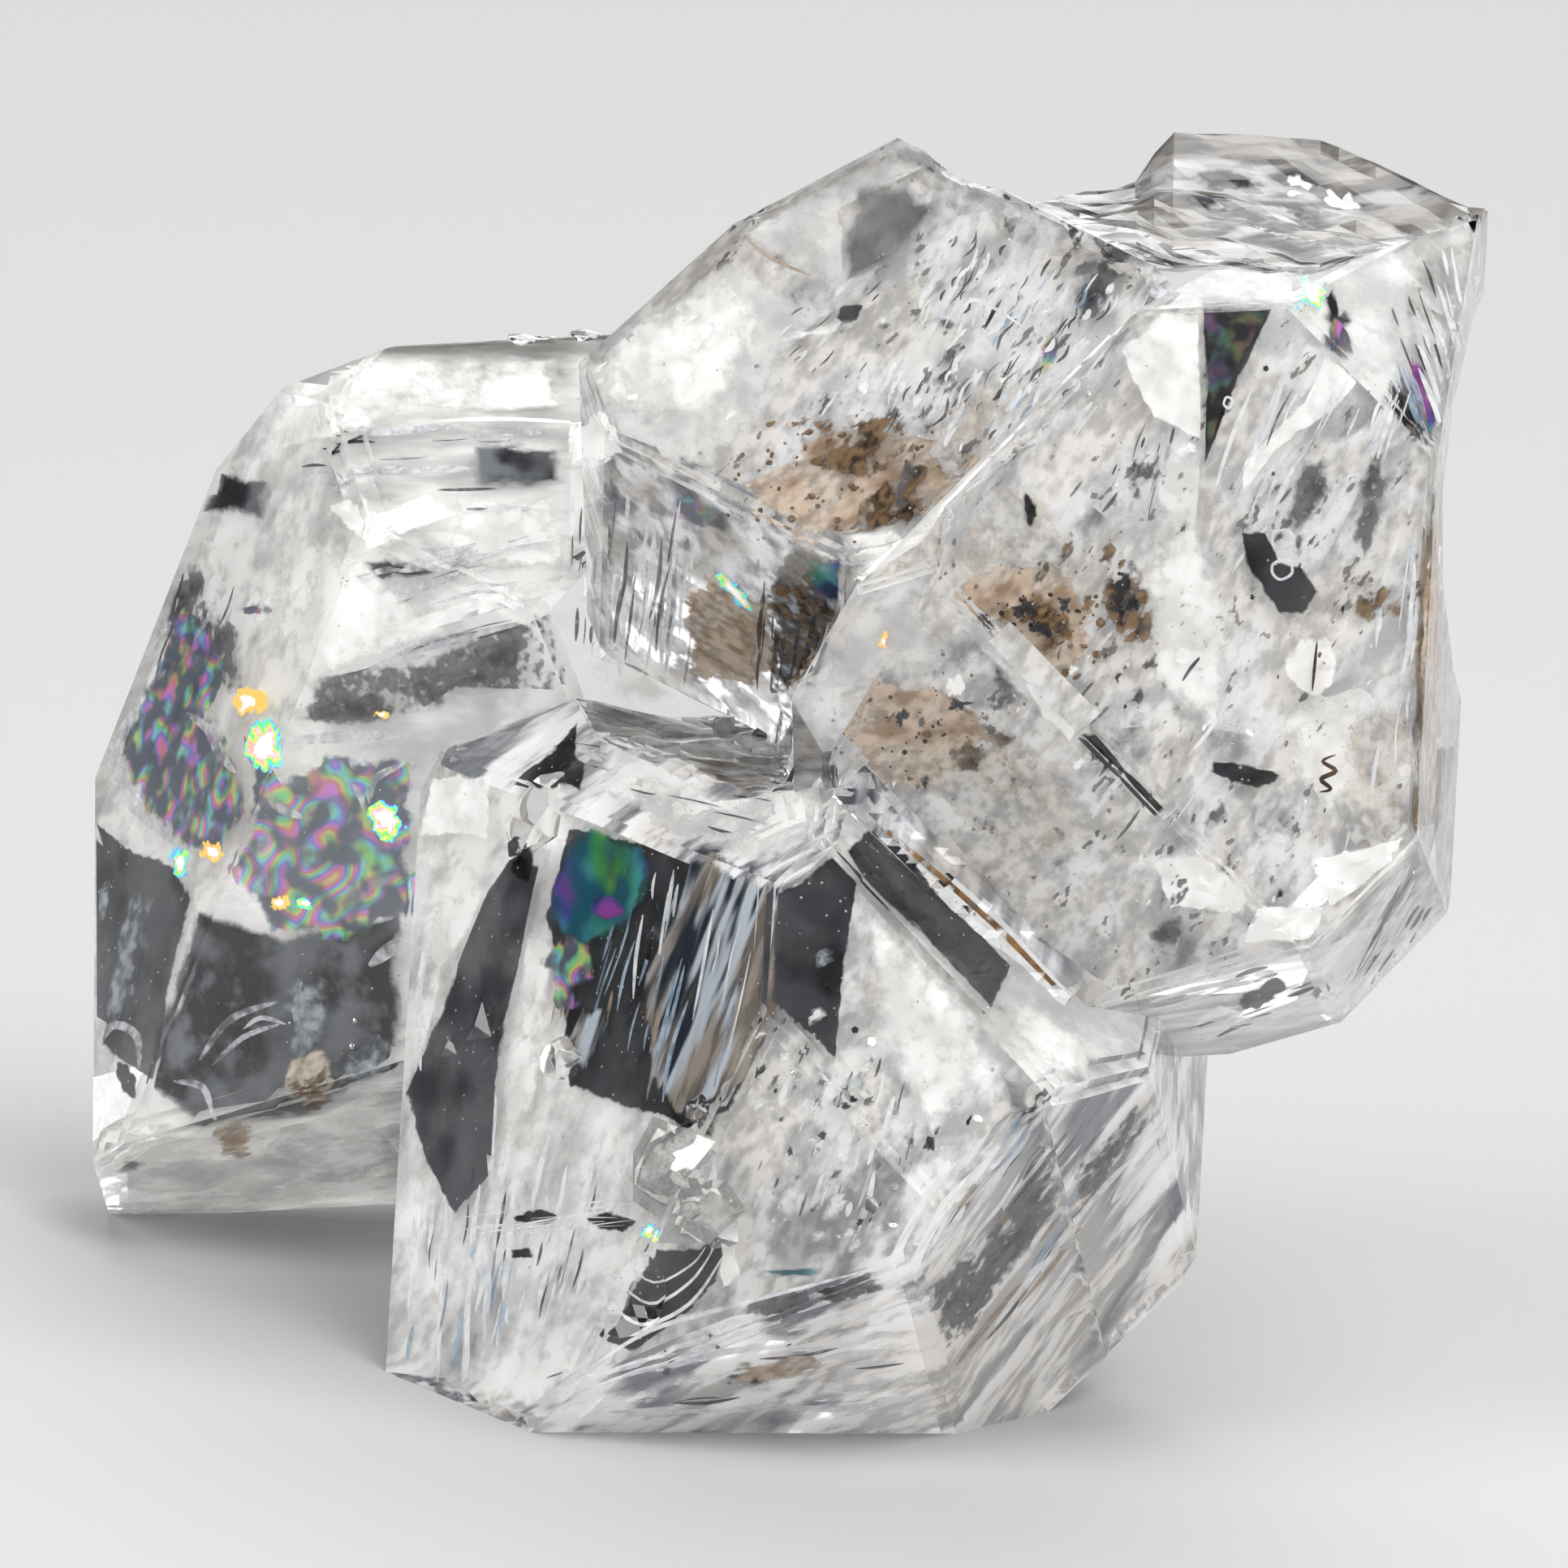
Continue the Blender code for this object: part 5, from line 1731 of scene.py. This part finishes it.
LEFT = Crystal(
    "left",
    heading=-26.2,
    lean=108.9,
    films=(
        # Milk behind the whole faces.
        Whole("cream", 1.4, seed=(588, 564)),
        Whole("cream", 1.4, seed=(252, 900)),
        Whole("cream", 1.4, seed=(420, 1032)),
        Whole("cream", 1.2, seed=(336, 1416)),
        # The broken top's facets: painted shade, chalk and painted highlights.
        Pane("gloom", 0.5, outline=((262, 572), (341, 590), (325, 641), (250, 630))),
        Pane("chalk", 0.7, outline=((350, 640), (440, 690), (560, 780), (480, 800), (380, 850), (300, 760))),
        Pane("chalk", 0.9, outline=((560, 610), (690, 600), (690, 700), (600, 720), (540, 690))),
        Pane("chalk", 0.9, outline=((350, 450), (520, 430), (700, 440), (700, 500), (520, 520), (320, 560))),
        Pane("bright", 0.5, outline=((449, 637), (529, 604), (566, 633), (447, 682))),
        Pane("gloom", 0.6, outline=((578, 548), (620, 538), (697, 552), (697, 596), (640, 606), (586, 600))),
        Pane("bright", 0.7, outline=((470, 775), (660, 715), (690, 728), (520, 778))),
        Pane("gloom", 0.9, outline=((440, 690), (470, 680), (540, 706), (450, 722))),
        Pane("shade", 0.8, outline=(
            (362, 890), (385, 835), (500, 815), (685, 752), (685, 850), (560, 850), (540, 880), (440, 895))),
        Pane("shade", 0.6, outline=((380, 880), (400, 845), (470, 850), (460, 890))),
        Pane("shade", 0.6, outline=((480, 850), (640, 790), (660, 830), (560, 850), (510, 880))),
        Pane("shade", 0.7, outline=(
            (215, 700), (245, 690), (262, 750), (300, 780), (300, 850), (240, 870), (195, 830))),
        # The coloured cracks and their painted glints.
        Pane("rainbow", 0.5, outline=(
            (224, 740), (262, 770), (280, 830), (262, 870), (300, 960), (302, 1010), (270, 1062), (215, 1040),
            (165, 990), (140, 930), (165, 870), (195, 800))),
        Pane("rainbow", 0.5, outline=(
            (300, 905), (345, 965), (400, 925), (512, 935), (512, 1130), (430, 1160), (330, 1152),
            (280, 1070), (312, 990))),
        Blot("rainbow", 0.5, middle=(310, 752), size=(12, 24)),
        Blot("glint", 0.4, middle=(327, 920), size=(34, 24)),
        Blot("amber_glint", 0.4, middle=(308, 864), size=(18, 22)),
        Blot("glint", 0.4, middle=(478, 1012), size=(30, 26)),
        Blot("amber_glint", 0.4, middle=(470, 880), size=(6, 10)),
        # The lower half painted dark as shade, the chalky foot, and a painted highlight.
        Pane("gloom", 0.9, outline=(
            (236, 1115), (350, 1145), (498, 1125), (494, 1310), (400, 1372), (250, 1394), (180, 1335),
            (190, 1290))),
        Pane("slate", 0.7, outline=(
            (107, 1000), (140, 1030), (215, 1065), (242, 1100), (188, 1330), (108, 1280))),
        Pane("chalk", 0.8, outline=(
            (108, 1385), (250, 1400), (420, 1362), (488, 1330), (484, 1485), (112, 1500))),
        Blot("haze", 0.6, middle=(400, 1420), size=(40, 80)),
        Blot("dusk", 0.6, middle=(160, 1435), size=(12, 20)),
        Blot("pearl", 0.5, middle=(270, 1450), size=(36, 120)),
        Pane("chalk", 0.9, outline=(
            (118, 940), (230, 745), (240, 770), (165, 910), (150, 990), (180, 1060), (140, 1020))),
        Blot("clay", 0.5, middle=(385, 1325), size=(40, 32)),
        Blot("umber", 0.4, middle=(382, 1335), size=(34, 26)),
        Blot("clay", 0.5, middle=(290, 1402), size=(24, 26)),
        Pane("bright", 0.5, outline=((402, 622), (430, 608), (452, 622), (452, 662), (420, 650))),
        # Fine lines, wisps and a painted highlight.
        Comb("wisp", 30, (0.4, 2.0), first=((390, 470), (720, 430)), last=((300, 640), (700, 640)),
             width=(3, 11), share=(0.1, 0.4)),
        Comb("dark_fibre", 16, (0.4, 2.0), first=((390, 480), (720, 440)), last=((330, 640), (700, 640)),
             width=(1.2, 5.0), share=(0.05, 0.2)),
        Comb("wisp", 30, (0.4, 2.0), first=((400, 720), (690, 640)), last=((380, 860), (690, 780)),
             width=(3, 12), share=(0.1, 0.5)),
        Comb("dark_fibre", 18, (0.4, 2.0), first=((400, 720), (690, 640)), last=((370, 880), (690, 790)),
             width=(1.2, 5.0), share=(0.05, 0.3)),
        Comb("wisp", 16, (0.4, 2.0), first=((230, 700), (130, 930)), last=((330, 690), (200, 960)),
             width=(3, 9), share=(0.1, 0.4)),
        Comb("dark_fibre", 5, (0.4, 1.2), first=((240, 660), (150, 920)), last=((330, 690), (230, 940)),
             width=(1.8, 4.0), share=(0.1, 0.3)),
        Stroke("wisp", 0.4, width=14.0, path=((230, 878), (258, 900), (272, 930), (290, 952))),
        Stroke("wisp", 0.4, width=14.0, path=((328, 968), (342, 992), (374, 1008))),
        Stroke("wisp", 0.4, width=8.0, path=((410, 952), (440, 975), (450, 1000))),
        Stroke("wisp", 0.5, width=9.0, path=((246, 1306), (284, 1256), (343, 1234))),
        Stroke("wisp", 0.5, width=7.0, path=((262, 1312), (300, 1278), (344, 1262))),
        Stroke("wisp", 0.5, width=6.0, path=((300, 1268), (322, 1254), (352, 1262))),
        Stroke("wisp", 0.5, width=8.0, path=((372, 1210), (364, 1245), (374, 1290), (366, 1310))),
        Stroke("wisp", 0.4, width=18.0, path=((455, 1190), (480, 1170), (496, 1160))),
        Stroke("wisp", 0.3, width=20.0, path=((168, 872), (142, 930), (160, 985), (215, 1040))),
        Stroke("wisp", 0.3, width=14.0, path=((345, 914), (420, 908), (512, 906))),
        Stroke("wisp", 0.3, width=10.0, path=((455, 990), (462, 960), (500, 940))),
        Stroke("wisp", 0.5, width=11.0, path=((116, 1300), (138, 1264), (168, 1276), (172, 1318))),
        Stroke("wisp", 0.5, width=9.0, path=((214, 1332), (250, 1340), (262, 1376))),
        Stroke("bright", 0.2, width=5.0, path=((530, 519), (620, 516), (717, 521))),
        # More painted glints, painted shade, and mist in the half painted dark.
        Blot("smoke", 0.5, middle=(156, 1332), size=(26, 11), lean=-16.0),
        Blot("glint", 0.5, middle=(222, 1062), size=(20, 14)),
        Blot("amber_glint", 0.5, middle=(262, 1050), size=(14, 16)),
        Blot("amber_glint", 0.5, middle=(345, 1112), size=(12, 16)),
        Blot("glint", 0.5, middle=(377, 1113), size=(8, 12)),
        Blot("mist", 0.5, middle=(378, 1250), size=(62, 34)),
        Blot("mist", 0.5, middle=(450, 1310), size=(44, 26), lean=30.0),
        Blot("mist", 0.5, middle=(160, 1180), size=(90, 22), lean=12.0),
        Blot("mist", 0.5, middle=(128, 1110), size=(30, 12), lean=8.0),
    ),
    swarms=(
        Swarm(Speck.BUBBLE, "mirror", 40, middle=(400, 1240), size=(110, 90), depths=(0.4, 3.0), grain=0.10),
        Swarm(Speck.GRAIN, "white_grain", 400, middle=(350, 900), size=(240, 450), depths=(0.2, 5.0),
              grain=0.05, spread=1.0),
    ),
)

FRONT = Crystal(
    "front",
    heading=-147.3,
    lean=128.21,
    films=(
        # Milk and slanting streaks behind the whole faces.
        Whole("cream", 1.6, seed=(684, 1332)),
        Whole("streaks", 2.4, seed=(684, 1332), wave=0.6),
        Whole("slants", 1.2, seed=(804, 972)),
        Whole("milk", 1.6, seed=(1104, 1260)),
        Whole("milk", 1.6, seed=(960, 1488)),
        Whole("slants", 1.2, seed=(1296, 1536)),
        Whole("slants", 1.0, seed=(1452, 1380)),
        Whole("slants", 1.2, seed=(972, 1692)),
        Whole("cream", 1.2, seed=(1224, 1200)),
        # The left pane painted dark as shade, and the chalk beside it.
        Pane("slate", 0.8, outline=(
            (635, 1045), (665, 1065), (650, 1135), (610, 1350), (605, 1450), (560, 1500), (525, 1440),
            (497, 1350), (600, 1100))),
        Blot("smoke", 0.7, middle=(645, 1062), size=(30, 16)),
        Pane("chalk", 0.7, outline=((520, 1130), (560, 1080), (600, 1090), (540, 1240), (510, 1330))),
        Pane("chalk", 0.7, outline=(
            (650, 1140), (680, 1120), (690, 1250), (660, 1380), (620, 1430), (615, 1350))),
        Pane("chalk", 0.9, outline=(
            (740, 910), (830, 950), (930, 990), (1020, 970), (1030, 1020), (940, 1060), (800, 1010),
            (735, 970))),
        # The window: coloured films, painted shade, ripples and a painted highlight.
        Pane("teal_film", 0.6, outline=(
            (725, 1000), (780, 1030), (806, 1062), (800, 1110), (770, 1150), (715, 1175), (672, 1140),
            (690, 1060))),
        Blot("blue_film", 0.5, middle=(748, 1118), size=(16, 26)),
        Blot("rainbow", 0.6, middle=(705, 1188), size=(34, 34)),
        Pane("smoke", 1.4, outline=(
            (700, 1020), (800, 1035), (948, 1085), (940, 1240), (868, 1398), (700, 1340), (690, 1200),
            (670, 1130))),
        Pane("ripple", 1.0, outline=(
            (850, 1052), (948, 1085), (942, 1240), (890, 1360), (840, 1380), (800, 1330), (790, 1200),
            (830, 1130))),
        Blot("ripple", 0.9, middle=(720, 1280), size=(50, 24), lean=20.0),
        Pane("bright", 0.4, outline=((530, 955), (612, 950), (600, 1035), (516, 1030))),
        Pane("chalk", 0.6, outline=(
            (1060, 1110), (1150, 1180), (1210, 1250), (1240, 1330), (1150, 1400), (1080, 1280))),
        # Facets painted dark as shade, and a painted highlight.
        Pane("smoke", 0.9, outline=(
            (957, 1100), (1030, 1045), (1060, 1075), (1050, 1140), (1030, 1310), (950, 1235))),
        Pane("smoke", 0.6, outline=((1040, 1045), (1080, 1010), (1245, 1190), (1225, 1245), (1060, 1080))),
        Pane("smoke", 0.7, outline=(
            (634, 961), (714, 885), (714, 927), (730, 941), (717, 976), (688, 970), (645, 970))),
        Pane("dusk", 0.9, outline=((1229, 1318), (1275, 1330), (1272, 1384), (1240, 1375))),
        Pane("smoke", 0.9, outline=(
            (808, 1534), (898, 1534), (883, 1579), (853, 1618), (778, 1668), (744, 1653))),
        Pane("bright", 0.7, outline=((890, 1520), (912, 1530), (915, 1575), (890, 1592), (880, 1560))),
        # The rusty groove and the broken ground.
        Pane("rust", 0.1, outline=(
            (1095, 1022), (1168, 1083), (1237, 1144), (1302, 1213), (1296, 1215), (1232, 1150), (1164, 1089),
            (1092, 1027))),
        Pane("streaks", 0.3, outline=(
            (1114, 1024), (1168, 1028), (1298, 1173), (1371, 1219), (1336, 1236), (1306, 1211), (1237, 1135),
            (1168, 1074))),
        Crust("pewter", 0.3, outline=(
            (690, 850), (837, 890), (882, 870), (1040, 925), (1034, 955), (926, 985), (837, 935), (700, 890))
            ),
        Crust("streaks", 0.4, outline=(
            (1020, 915), (1090, 925), (1170, 985), (1230, 1060), (1150, 1080), (1040, 1000))),
        # Frosted chips, then fine lines.
        Pane("frost", 0.05, outline=(
            (805, 1375), (882, 1407), (855, 1440), (810, 1500), (780, 1480), (780, 1420))),
        Pane("frost", 0.05, outline=((845, 1450), (895, 1455), (920, 1490), (875, 1532), (810, 1532))),
        Comb("blue_fibre", 34, (0.6, 2.0), first=((770, 1050), (700, 1330)), last=((945, 1090), (870, 1390)),
             width=(2, 6)),
        Comb("pale_fibre", 22, (0.6, 2.0), first=((790, 1050), (760, 1330)), last=((945, 1090), (880, 1370)),
             width=(2, 5), share=(0.1, 0.5)),
        Comb("tan_fibre", 12, (0.6, 2.0), first=((690, 1180), (670, 1330)), last=((945, 1090), (870, 1390)),
             width=(2, 6), share=(0.1, 0.3)),
        Comb("pale_fibre", 40, (0.5, 2.5), first=((520, 1130), (500, 1690)), last=((640, 1400), (620, 1740)),
             width=(3, 10), share=(0.1, 0.4)),
        Comb("pale_fibre", 36, (0.5, 2.5), first=((610, 1400), (560, 1680)), last=((790, 1400), (700, 1640)),
             width=(3, 9), share=(0.1, 0.5)),
        Comb("dark_fibre", 22, (0.5, 2.5), first=((540, 1400), (520, 1640)), last=((760, 1400), (690, 1660)),
             width=(1.2, 4.3), share=(0.05, 0.3)),
        Comb("blue_fibre", 14, (0.5, 2.5), first=((530, 1500), (500, 1680)), last=((640, 1500), (600, 1740)),
             width=(3, 8), share=(0.1, 0.4)),
        Comb("pale_fibre", 12, (0.1, 0.3), first=((560, 1500), (800, 1470)), last=((560, 1530), (800, 1510)),
             width=(1, 2.5), share=(0.2, 0.7)),
        Comb("pale_fibre", 44, (0.5, 2.5), first=((1130, 1560), (1290, 1340)),
             last=((1200, 1740), (1460, 1420)), width=(3, 12), share=(0.1, 0.5)),
        Comb("dark_fibre", 34, (0.5, 2.5), first=((1130, 1560), (1290, 1340)),
             last=((1200, 1740), (1460, 1420)), width=(1.8, 6.8), share=(0.1, 0.4)),
        Comb("blue_fibre", 16, (0.5, 2.5), first=((1130, 1560), (1290, 1340)),
             last=((1200, 1740), (1460, 1420)), width=(3, 9), share=(0.1, 0.4)),
        Comb("tan_fibre", 16, (0.5, 2.5), first=((1130, 1560), (1290, 1340)),
             last=((1200, 1740), (1460, 1420)), width=(3, 8), share=(0.1, 0.4)),
        Comb("pale_fibre", 36, (0.5, 2.0), first=((690, 1690), (1120, 1570)),
             last=((690, 1750), (1170, 1730)), width=(3, 10), share=(0.1, 0.4)),
        Comb("dark_fibre", 20, (0.5, 2.0), first=((690, 1690), (1120, 1570)),
             last=((690, 1750), (1170, 1730)), width=(1.2, 5.0), share=(0.05, 0.25)),
        Comb("pale_fibre", 30, (0.5, 2.0), first=((600, 900), (720, 980)), last=((720, 880), (1010, 1040)),
             width=(2, 8), share=(0.05, 0.2)),
        Comb("dark_fibre", 20, (0.5, 2.0), first=((620, 960), (1000, 1060)), last=((640, 900), (1030, 960)),
             width=(1.2, 4.3), share=(0.05, 0.2)),
        Comb("pale_fibre", 30, (0.5, 3.0), first=((900, 1500), (1000, 1260)),
             last=((1090, 1560), (1180, 1200)), width=(2, 9), share=(0.05, 0.25)),
        Comb("dark_fibre", 34, (0.5, 3.0), first=((900, 1500), (1000, 1260)),
             last=((1090, 1560), (1180, 1200)), width=(1.2, 5.0), share=(0.04, 0.15)),
        Stroke("pale_fibre", 0.4, width=5.0, path=((748, 1600), (790, 1632), (850, 1606), (893, 1545))),
        Stroke("pale_fibre", 0.4, width=4.0, path=((752, 1570), (800, 1606), (850, 1580), (880, 1538))),
        Stroke("pale_fibre", 0.4, width=3.0, path=((765, 1550), (805, 1580), (850, 1560), (870, 1536))),
        Stroke("pale_fibre", 0.4, width=6.0, path=((720, 1690), (800, 1640), (900, 1610), (1090, 1560))),
        # Dark openings painted as shade, a painted glint, and flecks of painted shade and painted soft
        # highlight.
        Blot("smoke", 0.6, middle=(662, 1500), size=(9, 30)),
        Pane("smoke", 0.6, outline=((720, 1500), (745, 1488), (785, 1505), (770, 1520), (735, 1518))),
        Blot("smoke", 0.6, middle=(640, 1545), size=(10, 18)),
        Blot("glint", 0.6, middle=(800, 1515), size=(10, 11)),
        Pane("pearl", 0.9, outline=(
            (760, 950), (900, 985), (1020, 960), (1035, 1030), (940, 1075), (800, 1015))),
        Flecks("shade", 18, middle=(1040, 1400), spread=(130, 120), size=(6, 20)),
        Flecks("pearl", 26, middle=(1040, 1380), spread=(150, 160), size=(8, 24), lean=50.0,
               depths=(0.4, 1.0)),
        Flecks("smoke", 12, middle=(1060, 1380), spread=(140, 150), size=(4, 10)),
        Flecks("mist", 12, middle=(1060, 1300), spread=(150, 160), size=(10, 26), depths=(0.4, 0.9)),
        Flecks("shade", 8, middle=(960, 1680), spread=(150, 30), size=(8, 22), lean=75.0),
        Pane("shade", 0.5, outline=(
            (1140, 1590), (1250, 1480), (1305, 1430), (1300, 1500), (1200, 1640), (1160, 1680))),
        Pane("shade", 0.6, outline=((1320, 1440), (1400, 1360), (1420, 1380), (1350, 1480), (1330, 1500))),
        Pane("chalk", 0.6, outline=(
            (1240, 1235), (1290, 1245), (1370, 1300), (1340, 1330), (1280, 1310), (1235, 1270))),
        Blot("rainbow", 0.6, middle=(700, 1232), size=(14, 18)),
        Blot("teal_film", 0.7, middle=(975, 1568), size=(10, 40)),
        Blot("clay", 0.6, middle=(950, 1690), size=(16, 60), lean=-10.0),
        Blot("shade", 0.7, middle=(1000, 1600), size=(16, 90), lean=-10.0),
    ),
    swarms=(
        Swarm(Speck.FLAKE, "mirror", 300, middle=(1050, 1350), size=(220, 200), depths=(0.8, 6.0), grain=0.14,
              spread=3.0),
        Swarm(Speck.BUBBLE, "mirror", 60, middle=(1100, 1300), size=(200, 200), depths=(0.6, 5.0),
              grain=0.08),
        Swarm(Speck.GRAIN, "white_grain", 700, middle=(950, 1350), size=(450, 400), depths=(0.2, 5.0),
              grain=0.05, spread=1.0),
    ),
)


def main() -> None:
    """Builds the studio and the cluster, and logs each piece."""
    logging.basicConfig(level=logging.INFO, format="%(name)s: %(message)s")
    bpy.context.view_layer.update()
    eye = Eye()
    Studio(eye).build()
    groups = Groups()
    cluster = frame["nodes"][CLUSTER]
    inside = Inside(cluster, eye)
    crystals = (FRONT, RIGHT, CENTRE, LEFT)
    cluster.data.materials.clear()
    quartz = Quartz(tuple(crystal.axis() for crystal in crystals))
    cluster.data.materials.append(quartz.material(groups))
    finishes = {finish.name: finish.material(groups) for finish in FINISHES}
    trees = {kind: scatter_tree(kind) for kind in Speck}
    for crystal in crystals:
        crystal.build(inside, finishes, trees)


if __name__ == "__main__":
    main()
